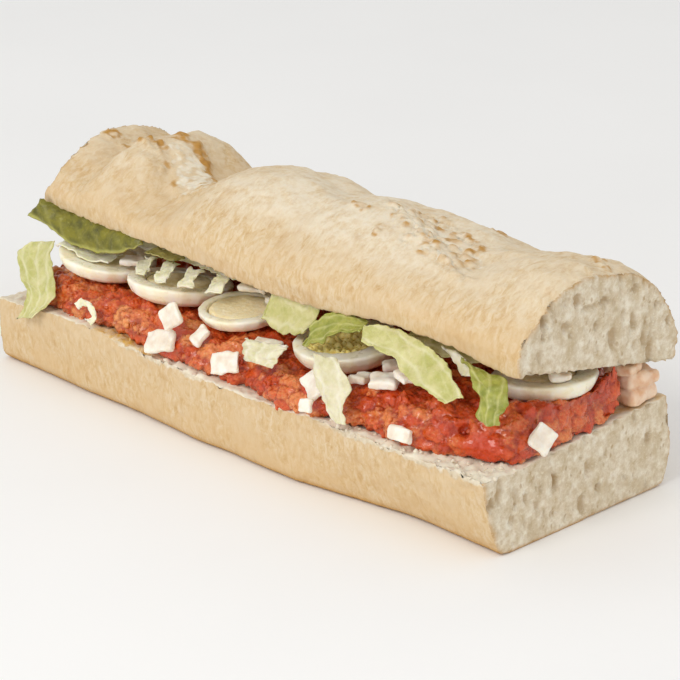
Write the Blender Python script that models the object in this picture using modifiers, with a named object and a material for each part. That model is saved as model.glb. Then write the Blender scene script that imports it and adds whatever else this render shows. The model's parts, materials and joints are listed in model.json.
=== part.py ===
"""A half baguette filled with seasoned mince, egg slices, lettuce and chopped onion.

X runs along the loaf, with the clean cut end at +X. The open front faces -Y, and Z is up.
The sandwich rests on the flat base of its lower half. Sizes are in millimetres and become
metres where a mesh is made.
"""

import math
from dataclasses import dataclass
from enum import Enum

import bmesh
import bpy
from mathutils import Matrix, Vector, noise
from mathutils.bvhtree import BVHTree

MM = 0.001
GAP = 0.35  # clearance kept between pieces that rest on each other

# Loaf
LOAF_LENGTH = 228.0
HALF = LOAF_LENGTH / 2
STATION = 5.1  # spacing of the sections along the loaf
CRUST_WAVE = 0.7  # height of the slow waves in the crust
CRUMB_WAVE = 0.7  # unevenness of the cut end faces

# Lower half, as (x, size) stations along the loaf
LOWER_HEIGHT = [(-114, 20.4), (-92, 22.4), (-70, 24.0), (-40, 23.6), (10, 22.8), (50, 24.4), (114, 25.0)]
LOWER_FRONT = [(-114, -42.2), (-60, -43.4), (20, -43.0), (62, -41.2), (114, -40.4)]
BASE_FRONT = [(-114, -41.4), (-66, -41.6), (-16, -41.6), (30, -40.4), (50, -37.2), (70, -34.0), (114, -32.8)]
BASE = -2.4
BASE_BACK = 40.5
LOWER_BACK = 45.5
CUT_DIP = 1.2  # how far the crumb sinks under the filling
CUT_RISE = [(-114, 1.0), (60, 2.0), (114, 3.6)]  # how much higher the cut is at the back than in front

# Upper half, which tips back onto the filling
LID_FRONT = -26.0
LID_BACK = 45.4
LID_FALL = 15.0  # drop of its underside from front to back
LID_FRONT_HEIGHT = [
    (-108, 53.0), (-60, 52.7), (-33, 52.7), (-9, 51.5), (14, 51.7),
    (34, 53.0), (56, 56.0), (82, 56.6), (98, 55.0), (114, 53.9),
]
LID_CREST = [
    (-114, 70.6), (-102, 66.8), (-93, 66.0), (-85, 74.2), (-75, 72.2), (-62, 62.0), (-50, 63.0),
    (-38, 72.4), (-25, 75.0), (-15, 75.0), (0, 72.8), (18, 75.4), (42, 75.2), (60, 74.2),
    (74, 73.0), (90, 75.8), (104, 78.2), (114, 75.6),
]
LID_LEFT_CUT = 6.0  # the front corner of the left end is cut this far back
LID_LEFT_LEAN = 5.0  # and leans back this much more at the top of that corner
FRONT_ROUND = 1.9  # superellipse powers of the dome's two sides
BACK_ROUND = 3.0

# Mince
MINCE_LEFT = -103.0
MINCE_RIGHT = 112.8
MINCE_STATION = 3.4
MINCE_FRONT = [
    (-103, -34.0), (-90, -38.0), (-62, -39.8), (-44, -39.0), (-25, -41.2), (-6, -40.2), (10, -38.2),
    (30, -41.8), (54, -38.2), (68, -36.8), (80, -36.8), (90, -34.6), (100, -30.0), (107, -27.6),
    (113, -22.5),
]
MINCE_BACK = [(-103, 33.0), (-85, 37.5), (60, 38.5), (90, 36.5), (96, 33.0), (101, 23.0), (113, 20.5)]
MINCE_WALL = [(-103, 5.0), (60, 8.0), (78, 21.0), (94, 19.0), (102, 14.0), (113, 12.5)]  # rises to the lid
MINCE_TOP = [(-103, 31.5), (-80, 33.4), (-40, 34.2), (20, 34.8), (60, 37.0), (84, 40.5), (113, 38.0)]
MINCE_LUMP = 1.5  # height of the lumps

# Egg
EGG_SIDES = 18
YOLK_SINK = 0.7  # depth of the yolk as a share of the slice's thickness
PRESS = 0.7  # how far the mince sinks below a slice
PRESS_REACH = 9.0  # how far out from its rim the mince is pressed down too

# Lettuce
LEAF_THICKNESS = 0.8
LEAF_CLEAR = 1.1  # from the middle of a leaf to what lies beside it


def along(stations, x):
    """Value at x on a smooth curve through (x, value) stations."""
    if x <= stations[0][0]:
        return stations[0][1]
    for i, ((x0, v0), (x1, v1)) in enumerate(zip(stations, stations[1:])):
        if x <= x1:
            before = stations[max(i - 1, 0)][1]
            after = stations[min(i + 2, len(stations) - 1)][1]
            t = (x - x0) / (x1 - x0)
            start, end = (v1 - before) / 2, (after - v0) / 2
            return (
                v0 * (2 * t**3 - 3 * t**2 + 1)
                + start * (t**3 - 2 * t**2 + t)
                + v1 * (3 * t**2 - 2 * t**3)
                + end * (t**3 - t**2)
            )
    return stations[-1][1]


def wave(point, size, seed):
    """Smooth unevenness from -1 to 1, with bumps about one size across."""
    return noise.noise(point / size + Vector((seed * 7.3, seed * 3.1, seed * 1.7)))


def ease(t):
    """0 below 0, 1 above 1 and smooth in between."""
    t = min(max(t, 0.0), 1.0)
    return t * t * (3 - 2 * t)


def cut_height(x, y):
    """Height of the lower half's cut face, which sinks a little under the filling."""
    across = (y - 2.0) / 44.0
    rise = along(CUT_RISE, x) * ease((y + 42) / 84)
    return along(LOWER_HEIGHT, x) + rise - CUT_DIP * max(0.0, 1 - across * across)


def lid_underside(x, y):
    """Height of the upper half's cut face."""
    return along(LID_FRONT_HEIGHT, x) - LID_FALL * (y - LID_FRONT) / (LID_BACK - LID_FRONT)


@dataclass
class Slash:
    """One baker's cut across the top, from (x0, y0) to (x1, y1), with a torn lip along it."""

    x0: float
    y0: float
    x1: float
    y1: float
    width: float
    depth: float
    ear: float

    def relief(self, x, y):
        """Height added to the dome: a shallow trough with a raised lip on its far side."""
        along_x, along_y = self.x1 - self.x0, self.y1 - self.y0
        length = math.hypot(along_x, along_y)
        t = ((x - self.x0) * along_x + (y - self.y0) * along_y) / length**2
        side = ((x - self.x0) * along_y - (y - self.y0) * along_x) / length
        fade = ease(t / 0.18) * ease((1 - t) / 0.18)
        trough = -self.depth * max(0.0, 1 - (side / self.width) ** 2)
        lip = self.ear * math.exp(-(((side - self.width) / 3.2) ** 2))
        lip += 0.6 * self.ear * math.exp(-(((side + self.width) / 3.6) ** 2))
        return fade * (trough + lip)


SLASHES = [
    Slash(-112, 30, -46, -14, 9.0, 1.8, 2.0),
    Slash(-44, 34, 22, 2, 7.0, 0.9, 1.0),
    Slash(14, 26, 92, -10, 10.0, 1.7, 1.8),
    Slash(84, 32, 128, 4, 7.0, 0.9, 1.0),
]


def lower_section(x):
    """Closed outline of the lower half at x, as (y, z) points from the front lip over the cut."""
    height, front = along(LOWER_HEIGHT, x), along(LOWER_FRONT, x)
    base = along(BASE_FRONT, x)
    back_lip = LOWER_BACK - 3.0
    points = []
    cuts = 7
    for i in range(cuts + 1):
        y = front + (back_lip - front) * i / cuts
        points.append((y, cut_height(x, y)))
    for t in (0.8, 0.45, 0.12):
        bulge = 3.0 * (1 - ((t - 0.45) / 0.55) ** 2)
        points.append((back_lip + bulge, height * t))
    points.append((BASE_BACK + 2.0, BASE + 1.0))
    for share in (0.0, 0.5, 1.0):
        points.append((BASE_BACK - 1.0 + (base + 5.5 - BASE_BACK) * share, BASE))
    points.append((base + 1.2, BASE + 1.0))
    for t in (0.06, 0.3, 0.65):
        points.append((base + (front - base) * (1 - (1 - t) ** 1.6), height * t))
    return points


def lid_section(x):
    """Closed outline of the upper half at x: its cut face from front to back, then the dome."""
    centre, half_width = (LID_FRONT + LID_BACK) / 2, (LID_BACK - LID_FRONT) / 2
    crest = along(LID_CREST, x)
    rise = crest - lid_underside(x, centre + 6.0)
    points = []
    cuts = 6
    for i in range(cuts + 1):
        y = LID_FRONT + (LID_BACK - LID_FRONT) * i / cuts
        points.append((y, lid_underside(x, y)))
    around = 19
    for i in range(1, around):
        angle = math.pi * i / around
        power = BACK_ROUND if angle < math.pi / 2 else FRONT_ROUND
        across = math.copysign(abs(math.cos(angle)) ** (2 / power), math.cos(angle))
        up = abs(math.sin(angle)) ** (2 / power)
        y = centre + half_width * across * (1 + 0.05 * math.sin(2 * math.pi * up))
        points.append((y, lid_underside(x, y) + rise * up))
    return points


def stations(start, end, spacing):
    """Evenly spaced places from start to end, both included."""
    count = round((end - start) / spacing)
    return [start + (end - start) * i / count for i in range(count + 1)]


def crusted(x, section, smooth_points, seed):
    """The section at x in space, with slow waves on its crust and none on its cut face."""
    centre = Vector((x, sum(p[0] for p in section) / len(section), sum(p[1] for p in section) / len(section)))
    ring = []
    for i, (y, z) in enumerate(section):
        point = Vector((x, y, z))
        if i >= smooth_points:
            out = (point - centre).normalized()
            swell = wave(point, 24.0, seed) + 0.45 * wave(point, 9.0, seed + 1)
            point += out * CRUST_WAVE * swell
        ring.append(point)
    return ring


def end_rings(ring, outward, seed):
    """Smaller rings inside an end ring, which give the cut end face its uneven crumb."""
    middle = sum(ring, Vector()) / len(ring)
    made = []
    for scale in (0.74, 0.46, 0.2):
        inner = [middle + (p - middle) * scale for p in ring]
        for p in inner:
            p.x += outward * CRUMB_WAVE * (wave(p, 6.0, seed) - 0.4)
        made.append(inner)
    return made


def loft(name, rings, finish):
    """A closed solid through rings of equal length, with a flat face on the first and the last."""
    bm = bmesh.new()
    loops = [[bm.verts.new(p * MM) for p in ring] for ring in rings]
    for near, far in zip(loops, loops[1:]):
        for i in range(len(near)):
            j = (i + 1) % len(near)
            bm.faces.new((near[i], near[j], far[j], far[i]))
    bm.faces.new(list(reversed(loops[0])))
    bm.faces.new(loops[-1])
    bmesh.ops.recalc_face_normals(bm, faces=bm.faces)
    if bm.calc_volume(signed=True) < 0:
        bmesh.ops.reverse_faces(bm, faces=bm.faces)
    return add(name, bm, finish)


def add(name, bm, finish, split=True):
    """Puts a finished bmesh into the scene as one named, smooth-shaded object."""
    mesh = bpy.data.meshes.new(name)
    if split:
        bmesh.ops.triangulate(bm, faces=bm.faces)
    bm.to_mesh(mesh)
    bm.free()
    mesh.materials.append(finish)
    mesh.shade_smooth()
    mesh.set_sharp_from_angle(angle=math.radians(50))
    obj = bpy.data.objects.new(name, mesh)
    SANDWICH.objects.link(obj)
    return obj


def material(name, colour, roughness):
    """A Principled material of one colour."""
    made = bpy.data.materials.new(name)
    made.use_nodes = True
    shader = made.node_tree.nodes["Principled BSDF"]
    shader.inputs["Base Color"].default_value = (*colour, 1.0)
    shader.inputs["Roughness"].default_value = roughness
    shader.inputs["Metallic"].default_value = 0.0
    made.diffuse_color = (*colour, 1.0)
    return made


def lower_half(finish):
    """The lower half of the baguette."""
    rings = []
    for x in stations(-HALF, HALF, STATION * 1.15):
        rings.append(crusted(x, lower_section(x), 8, seed=1))
    for ring in rings:
        for p in ring:
            p.z = max(p.z, BASE)
    return loft("bread_lower", capped(rings, seed=3), finish)


def capped(rings, seed):
    """The rings with the inner rings of both end faces added."""
    first = list(reversed(end_rings(rings[0], -1, seed)))
    return first + rings + end_rings(rings[-1], 1, seed + 1)


def upper_half(finish):
    """The upper half of the baguette, slashed across its top."""
    rings = []
    for x in stations(-HALF, HALF, STATION):
        ring = crusted(x, lid_section(x), 7, seed=5)
        for i, p in enumerate(ring):
            height = ease((p.z - lid_underside(x, p.y) - 12) / 10)
            if i >= 7:
                p.z += height * sum(slash.relief(x, p.y) for slash in SLASHES)
            near_end = ease((-x - HALF + 34) / 34)
            toward_front = (LID_BACK - p.y) / (LID_BACK - LID_FRONT)
            higher = ease((p.z - 53) / 9)
            p.x += (LID_LEFT_CUT + LID_LEFT_LEAN * higher) * near_end * toward_front
        rings.append(ring)
    return loft("bread_upper", capped(rings, seed=7), finish)


@dataclass
class EggSlice:
    """A slice of boiled egg. x, y and z are the middle of its upper face, and tilts are in degrees."""

    name: str
    x: float
    y: float
    z: float
    radius: float
    thickness: float
    lean_back: float
    lean_side: float
    yolk: float
    yolk_shift: float
    slope: float = 0.4  # how steeply the mince rises again beyond its rim

    def frame(self, shift=0.0):
        """The slice's own frame, with its upper face at z 0, moved along its own x by shift."""
        turn = Matrix.Rotation(math.radians(self.lean_side), 4, "Y")
        turn = Matrix.Rotation(math.radians(-self.lean_back), 4, "X") @ turn
        return Matrix.Translation((self.x, self.y, self.z)) @ turn @ Matrix.Translation((shift, 0, 0))

    def presses(self, point):
        """The point, moved down where it would lie inside the slice or above it."""
        frame = self.frame()
        local = frame.inverted() @ point
        beyond = max(0.0, math.hypot(local.x, local.y) - self.radius - 1)
        limit = -self.thickness - PRESS + self.slope * beyond
        if beyond < PRESS_REACH and limit < local.z < 14:
            local.z = limit
            return frame @ local
        return point

    def build(self, white, yellow):
        """The white, hollowed for the yolk, and the yolk in that hollow."""
        rim, deep = self.radius, self.thickness
        side = [(0, 0), (rim - 0.4, 0), (rim, -0.5), (rim - 0.5, -0.36 * deep), (rim - 1.8, -0.7 * deep)]
        under = [(rim - 4.2, -0.93 * deep), (rim - 7.5, -deep), (0, -deep)]
        ring = turned(f"{self.name}_white", side + under, self.frame(), white, SANDWICH)
        hole, sink = self.yolk + 0.3, YOLK_SINK * deep
        drill = [(0, 2), (hole, 2), (hole, -0.6 * sink), (0.6 * hole, -sink), (0, -sink)]
        cutter = turned(f"{self.name}_hole", drill, self.frame(self.yolk_shift), white, CUTTERS)
        cutter.hide_render = True
        cutter.display_type = "WIRE"
        cut = ring.modifiers.new("hole", "BOOLEAN")
        cut.object = cutter
        cut.solver = "EXACT"
        edge, foot = self.yolk, GAP - sink
        top = [(0, -0.1), (edge - 0.9, -0.3), (edge, -1.1)]
        bowl = [(edge, 0.2 - 0.6 * sink), (0.6 * edge, foot), (0, foot)]
        turned(f"{self.name}_yolk", top + bowl, self.frame(self.yolk_shift), yellow, SANDWICH)


def turned(name, profile, frame, finish, collection):
    """A (radius, height) profile turned once about Z with a Screw modifier, then placed."""
    mesh = bpy.data.meshes.new(name)
    points = [(r * MM, 0.0, z * MM) for r, z in profile]
    mesh.from_pydata(points, [(i, i + 1) for i in range(len(points) - 1)], [])
    mesh.materials.append(finish)
    obj = bpy.data.objects.new(name, mesh)
    collection.objects.link(obj)
    screw = obj.modifiers.new("turn", "SCREW")
    screw.axis = "Z"
    screw.steps = screw.render_steps = EGG_SIDES
    screw.use_merge_vertices = True
    screw.merge_threshold = 0.00005
    screw.use_smooth_shade = True
    place = frame.copy()
    place.translation *= MM
    obj.matrix_world = place
    return obj


EGGS = [
    EggSlice("egg_1", -81.2, -19.5, 38.8, 17.0, 6.0, 6, 5, 10.8, 0.0),
    EggSlice("egg_2", -46.4, -17.5, 38.8, 18.0, 6.4, 9, -2, 11.4, 0.0),
    EggSlice("egg_3", -13.2, -20.5, 39.4, 14.4, 5.2, -3, -2, 10.6, -0.6),
    EggSlice("egg_4", 32.4, -17.5, 40.4, 17.4, 7.0, -4, -3, 12.0, -2.0),
    EggSlice("egg_5", 97.0, 4.0, 42.4, 16.6, 6.6, 1, -6, 9.6, 0.0, slope=2.0),
]


def mince_outline(x):
    """The mince's section at x as (y, z, lumpiness) points, from its front foot over the top."""
    front, back, top = along(MINCE_FRONT, x), along(MINCE_BACK, x), along(MINCE_TOP, x)
    foot, heel = cut_height(x, front) + GAP, cut_height(x, back) + GAP

    def under_lid(y, below):
        return lid_underside(x, y) - GAP - below

    rise, width = top - foot, back - front
    wall = along(MINCE_WALL, x)
    shelf = [front + 13.0 + (wall - 16.5 - front) * k / 3 for k in range(4)]
    below = [back - 0.26 * width, back - 0.5 * width, front + 0.24 * width]
    return [
        (front + 0.4, foot, 0.2),
        (front - 1.0, foot + 0.28 * rise, 1.0),
        (front + 0.6, foot + 0.55 * rise, 1.0),
        (front + 3.6, foot + 0.78 * rise, 1.0),
        (front + 8.0, foot + 0.93 * rise, 1.0),
        (shelf[0], top, 0.8),
        (shelf[1], top + 0.4, 0.4),
        (shelf[2], top + 0.8, 0.3),
        (shelf[3], top + 1.2, 0.3),
        (wall - 1.0, (top + under_lid(wall, 1.0)) / 2, 0.3),
        (wall + 3.0, under_lid(wall + 3.0, 0.5), 0.0),
        ((wall + back) / 2, under_lid((wall + back) / 2, 0.3), 0.0),
        (back - 3.0, under_lid(back - 3.0, 1.6), 0.4),
        (back + 0.4, heel + 0.6 * (under_lid(back, 0.0) - heel), 1.0),
        (back + 1.0, heel + 0.25 * (under_lid(back, 0.0) - heel), 1.0),
        (back - 0.6, heel, 0.2),
    ] + [(y, cut_height(x, y) + GAP, 0.0) for y in below]


def mince_point(x, y, z, lumpiness):
    """A point of the mince with its lumps, pressed down under the egg slices."""
    point = Vector((x, y, z))
    lump = wave(point, 8.0, 11) + 0.7 * wave(point, 4.0, 12)
    centre = Vector((x, y * 0.6, cut_height(x, y) + 2.0))
    point += (point - centre).normalized() * MINCE_LUMP * lumpiness * lump
    floor, ceiling = cut_height(x, point.y) + GAP, lid_underside(x, point.y) - GAP
    for piece in EGGS:
        point = piece.presses(point)
    point.z = min(max(point.z, floor), ceiling)
    return point


def mince_bed(finish):
    """The mince, one lumpy bed that runs through the whole sandwich."""
    rings = []
    for x in stations(MINCE_LEFT, MINCE_RIGHT, MINCE_STATION):
        rings.append([mince_point(x, *spot) for spot in mince_outline(x)])
    return loft("mince", capped(rings, seed=15), finish)


@dataclass
class Bed:
    """What the loose pieces rest on: the surfaces of everything built before them."""

    tree: BVHTree

    @classmethod
    def of(cls, objects):
        """The bed made by the evaluated meshes of some objects."""
        graph = bpy.context.evaluated_depsgraph_get()
        points, faces = [], []
        for obj in objects:
            shown = obj.evaluated_get(graph)
            mesh = shown.to_mesh()
            start = len(points)
            points += [shown.matrix_world @ vert.co / MM for vert in mesh.vertices]
            faces += [[start + i for i in face.vertices] for face in mesh.polygons]
            shown.to_mesh_clear()
        return cls(BVHTree.FromPolygons(points, faces))

    def holds(self, spot):
        """Whether a spot is inside a piece: a line up from it then crosses an odd number of faces."""
        crossings, up = 0, Vector((0, 0, 1))
        hit = self.tree.ray_cast(spot, up)[0]
        while hit:
            crossings += 1
            hit = self.tree.ray_cast(hit + up * 0.001, up)[0]
        return crossings % 2 == 1

    def front(self, x, z):
        """The place where the bed is first met at x and z, coming from the front."""
        return self.tree.ray_cast(Vector((x, -90, z)), Vector((0, 1, 0)))[0]

    def top(self, x, y):
        """The place where the bed is first met at x and y, coming from above."""
        return self.tree.ray_cast(Vector((x, y, 90)), Vector((0, 0, -1)))[0]


@dataclass
class Leaf:
    """A piece of lettuce stretched between two edges, each given as a few (x, y, z) points."""

    name: str
    edge_a: list
    edge_b: list
    cup: float = 0.8
    ruffle: float = 0.5
    folds: float = 2.0
    dark: bool = False
    lies: bool = False  # on top of the food under it, and otherwise in front of it
    steps: tuple = (12, 5)

    def point(self, s, t, bed):
        """Place on the leaf at s along its edges and t from the first edge to the second."""
        rails = []
        for edge in (self.edge_a, self.edge_b):
            share = s * (len(edge) - 1)
            rails.append(Vector([along([(i, p[k]) for i, p in enumerate(edge)], share) for k in range(3)]))
        spot = rails[0].lerp(rails[1], t)
        across = (rails[1] - rails[0]).normalized()
        out = across.cross(Vector((0, 0, 1)) if abs(across.z) < 0.7 else Vector((1, 0, 0))).normalized()
        edge = abs(2 * t - 1)
        wrinkle = self.ruffle * (0.3 + edge) * math.sin(self.folds * math.tau * s + 2.0 * t)
        spot += out * (self.cup * (1 - edge * edge) + wrinkle)
        spot += across * 0.7 * edge * wave(spot, 4.0, 21)
        spot = on_top(spot, bed) if self.lies else in_front(spot, bed)
        return under_lid_edge(spot)

    def build(self, finish, bed):
        """The leaf as a grid bent to shape, thickened both ways by a Solidify modifier."""
        bm = bmesh.new()
        bmesh.ops.create_grid(bm, x_segments=self.steps[0], y_segments=self.steps[1], size=1.0)
        for vert in bm.verts:
            vert.co = self.point((vert.co.x + 1) / 2, (vert.co.y + 1) / 2, bed) * MM
        obj = add(self.name, bm, finish)
        skin = obj.modifiers.new("thickness", "SOLIDIFY")
        skin.thickness = LEAF_THICKNESS * MM
        skin.offset = 0.0
        return obj


def in_front(point, bed):
    """The point, brought forward if it would lie inside the bed or touch it."""
    hit = bed.front(point.x, point.z)
    if hit and point.y > hit.y - LEAF_CLEAR and hit.y < -25:
        point.y = hit.y - LEAF_CLEAR
    return point


def on_top(point, bed):
    """The point, raised if it would lie inside the bed or touch it."""
    hit = bed.top(point.x, point.y)
    if hit:
        point.z = max(point.z, hit.z + LEAF_CLEAR)
    return point


def under_lid_edge(point):
    """The point, kept below the upper half's cut face where it reaches in under it."""
    if point.y > LID_FRONT - 2.2:
        point.z = min(point.z, lid_underside(point.x, max(point.y, LID_FRONT)) - 1.0)
    return point


LEAVES = [
    Leaf("leaf_dark_end",
         [(-110, -31, 48.5), (-98.5, -30, 45.8), (-92.5, -29, 42.6), (-78, -28.5, 42.6), (-65.5, -28, 45.5),
          (-56, -25, 50.2)],
         [(-103, -30, 55.4), (-100.5, -25, 51.6), (-91.5, -24, 51), (-80, -24, 51), (-69, -24, 51.2),
          (-58, -24, 51.5)],
         cup=-1.6, ruffle=0.3, dark=True),
    Leaf("leaf_pale_end",
         [(-108, -31, 39.5), (-112.5, -34, 35.3), (-105.5, -39, 29.6), (-96.5, -43, 27), (-99, -46, 17.6)],
         [(-95.5, -30.5, 43), (-93.5, -35, 38.5), (-85, -39.5, 32), (-84, -43.5, 27), (-90, -46, 20)],
         cup=-1.2, ruffle=0.5),
    Leaf("leaf_over_egg",
         [(-95.5, -31, 41.6), (-88, -31.5, 40), (-79, -31, 40), (-71, -28, 40)],
         [(-95.5, -23, 41.6), (-89, -20, 40.5), (-82, -19, 40.5), (-74, -19, 40.5)],
         cup=0.3, ruffle=0.2, lies=True, steps=(8, 4)),
    Leaf("leaf_middle",
         [(3, -27, 41.8), (11, -27.5, 39.2), (20, -27.5, 41), (25, -28, 43.5)],
         [(4, -23, 50), (12, -23, 50.5), (20, -22.5, 51), (26, -22, 51)],
         cup=1.0, ruffle=0.4, folds=1.0, lies=True, steps=(9, 4)),
    Leaf("leaf_frill",
         [(29, -33.5, 41.8), (33.5, -32.5, 43), (39, -31, 46.8), (45, -30, 49.5), (50.5, -29.5, 51)],
         [(26.5, -29, 44.5), (31, -25.5, 49.5), (37, -23.5, 52), (43, -23.5, 52.2), (49, -23.5, 52)],
         cup=1.2, ruffle=0.8, folds=3.0, lies=True),
    Leaf("leaf_drape",
         [(51, -28, 53.5), (59, -25.5, 55), (67, -25.5, 55), (79, -26.5, 53.5), (91, -31.5, 51.5),
          (101, -36, 46.5)],
         [(54, -31.5, 49), (61, -32.5, 49), (69, -33, 48.5), (74.5, -34.5, 45.5), (84.5, -35.5, 43.8),
          (94, -37, 42.6)],
         cup=1.2, ruffle=0.8, folds=3.5, steps=(14, 5)),
    Leaf("leaf_shred_end",
         [(78, -22, 52.5), (84, -23, 50.5), (89, -25, 47)],
         [(84, -21.5, 52.5), (90, -22.5, 51), (94.5, -24.5, 48)],
         cup=0.6, ruffle=0.3, steps=(7, 2)),
    Leaf("leaf_green_front",
         [(88, -24, 52.6), (95.5, -28.5, 51.4), (103, -32.6, 47.5), (107, -35.8, 41)],
         [(105, -23.5, 51.8), (113, -28.6, 50.2), (115.4, -33.6, 46), (115, -35.6, 41.5)],
         cup=1.4, ruffle=0.8, folds=2.5, dark=True),
    Leaf("leaf_strip",
         [(37, -36.5, 42.5), (40.4, -39.5, 38.5), (45, -42, 34.4), (49.4, -43.5, 31), (55, -44.5, 27)],
         [(48, -36, 44), (54.4, -39.5, 41.5), (59.4, -42, 38), (58.4, -43.5, 33.6), (60.4, -44.5, 28)],
         cup=0.8, ruffle=0.4, folds=1.0, steps=(9, 4)),
    Leaf("leaf_scrap",
         [(8.5, -38.5, 39.5), (9.5, -41, 36.5), (11.5, -42, 33.8)],
         [(28.5, -38.5, 43.5), (27.5, -41, 40), (24.5, -42, 35)],
         cup=1.0, ruffle=0.7, steps=(7, 5)),
    Leaf("leaf_curl",
         [(-71, -42.6, 30), (-67, -42.8, 33.6), (-61.2, -43, 32.4), (-58.8, -43.4, 28.6),
          (-62, -43.6, 24.8)],
         [(-69, -42.6, 28.2), (-66, -42.8, 30.4), (-63.2, -43, 29.6), (-62, -43.4, 27.8),
          (-64.6, -43.6, 26.6)],
         cup=0.3, ruffle=0.2, steps=(9, 2)),
    Leaf("leaf_olive",
         [(-56, -25, 47.8), (-48, -25, 47.8), (-41, -25, 48.2)],
         [(-55, -20, 48.8), (-48, -19, 48.6), (-41, -19.5, 48.8)],
         cup=-0.5, ruffle=0.4, dark=True, steps=(6, 3)),
    Leaf("leaf_shred_left",
         [(-55.5, -30, 41.8), (-60, -24, 42.4), (-61.5, -19, 43.4)],
         [(-49.5, -30, 41.8), (-53.5, -24, 42.6), (-55, -19, 44.2)],
         cup=0.8, ruffle=0.3, lies=True, steps=(7, 3)),
    Leaf("leaf_shred_middle",
         [(-45, -31, 42), (-49, -25, 43.2), (-51.5, -19, 44.6)],
         [(-38, -31, 42), (-41.5, -25, 43.6), (-44, -19, 45)],
         cup=0.8, ruffle=0.3, lies=True, steps=(7, 3)),
    Leaf("leaf_shred_right",
         [(-34, -30, 42.4), (-37, -25, 44), (-39.5, -19, 45.2)],
         [(-27, -29, 43), (-30, -24, 44.8), (-32, -19, 46)],
         cup=0.8, ruffle=0.3, lies=True, steps=(7, 3)),
    Leaf("leaf_shred_far",
         [(-23.5, -28, 43), (-25.5, -23, 44.8), (-27.5, -18, 46.4)],
         [(-16, -26, 43.6), (-18, -22, 45.4), (-19.5, -18, 46.6)],
         cup=0.8, ruffle=0.3, lies=True, steps=(7, 3)),
    Leaf("leaf_back_left",
         [(-74, -14, 42.5), (-60, -15, 43), (-45, -14, 43.5), (-30, -14, 43.5), (-16, -12, 43.5)],
         [(-74, -8, 46.5), (-60, -9, 47), (-45, -8, 47), (-30, -8, 47), (-16, -6, 46.5)],
         cup=0.6, ruffle=0.7, folds=4.0, lies=True, steps=(12, 2)),
    Leaf("leaf_back_middle",
         [(-11, -6, 42.5), (0, -8, 43), (11, -9, 43.5), (21, -9, 43.5)],
         [(-11, -2, 45.5), (0, -3, 45.5), (11, -4, 45.5), (21, -4, 46)],
         cup=0.6, ruffle=0.6, folds=3.0, lies=True, steps=(9, 2)),
    Leaf("leaf_back_right",
         [(54, -14, 46), (64, -17, 46.5), (76, -17, 47), (88, -15, 47.5)],
         [(54, -7, 50), (64, -8, 50.5), (76, -8, 51), (88, -8, 51)],
         cup=0.6, ruffle=0.7, folds=3.0, lies=True, steps=(9, 2)),
]


class Side(Enum):
    """The side a loose piece is laid on from: where it comes from and how it would settle there."""

    FRONT = ((0, -1, 0), (0, -0.8, 0.6))
    ABOVE = ((0, 0, 1), (0, 0, 1))
    RIGHT = ((1, 0, 0), (0.9, -0.3, 0.3))
    BACK = ((0, 1, 0), (0, 1, 0.1))


@dataclass
class Onion:
    """A chopped piece of onion: a rounded block set down on the bed at one spot."""

    name: str
    spot: tuple
    size: tuple
    spin: float
    side: Side = Side.FRONT

    def build(self, finish, solid, bed):
        """Adds the block over the solid food, at the first distance where it is clear of the bed."""
        origin, settled = (Vector(v) for v in self.side.value)
        start = Vector(self.spot) + origin * 200
        hit, normal, _, _ = solid.tree.ray_cast(start, -origin)
        out = (normal * 0.35 + settled).normalized()
        side = Vector((1, 0, 0)) - out * out.x if abs(out.x) < 0.8 else Vector((0, 1, 0)) - out * out.y
        turn = Matrix.Rotation(math.radians(self.spin), 3, out)
        side = turn @ side.normalized()
        axes = Matrix((side, out.cross(side), out)).transposed()
        half = Vector(self.size) / 2
        reach = half.z + GAP
        while self.touches(bed, hit + out * reach, axes, half):
            reach += 0.15
        place = axes.to_4x4()
        place.translation = (hit + out * reach) * MM
        self.block(place, finish)

    def touches(self, bed, middle, axes, half):
        """Whether any of a net of points over the block's faces is inside the bed or too near it."""
        for i in range(7):
            for j in range(7):
                for level in (-1.0, 0.0):
                    local = Vector(((i / 3 - 1) * half.x, (j / 3 - 1) * half.y, level * half.z))
                    spot = middle + axes @ local
                    if bed.tree.find_nearest(spot)[3] < GAP or bed.holds(spot):
                        return True
        return False

    def block(self, place, finish):
        """The block itself: a cube pulled a little out of square, its edges bevelled."""
        bm = bmesh.new()
        bmesh.ops.create_cube(bm, size=1.0)
        for vert in bm.verts:
            skew = 1 + 0.16 * wave(Vector(self.spot) + vert.co * 5, 3.0, 31)
            vert.co = Vector([c * s * skew * MM for c, s in zip(vert.co, self.size)])
        obj = add(self.name, bm, finish, split=False)
        obj.matrix_world = place
        edge = obj.modifiers.new("soft edges", "BEVEL")
        edge.width = min(self.size) * 0.22 * MM
        edge.segments = 1
        edge.limit_method = "NONE"


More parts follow.
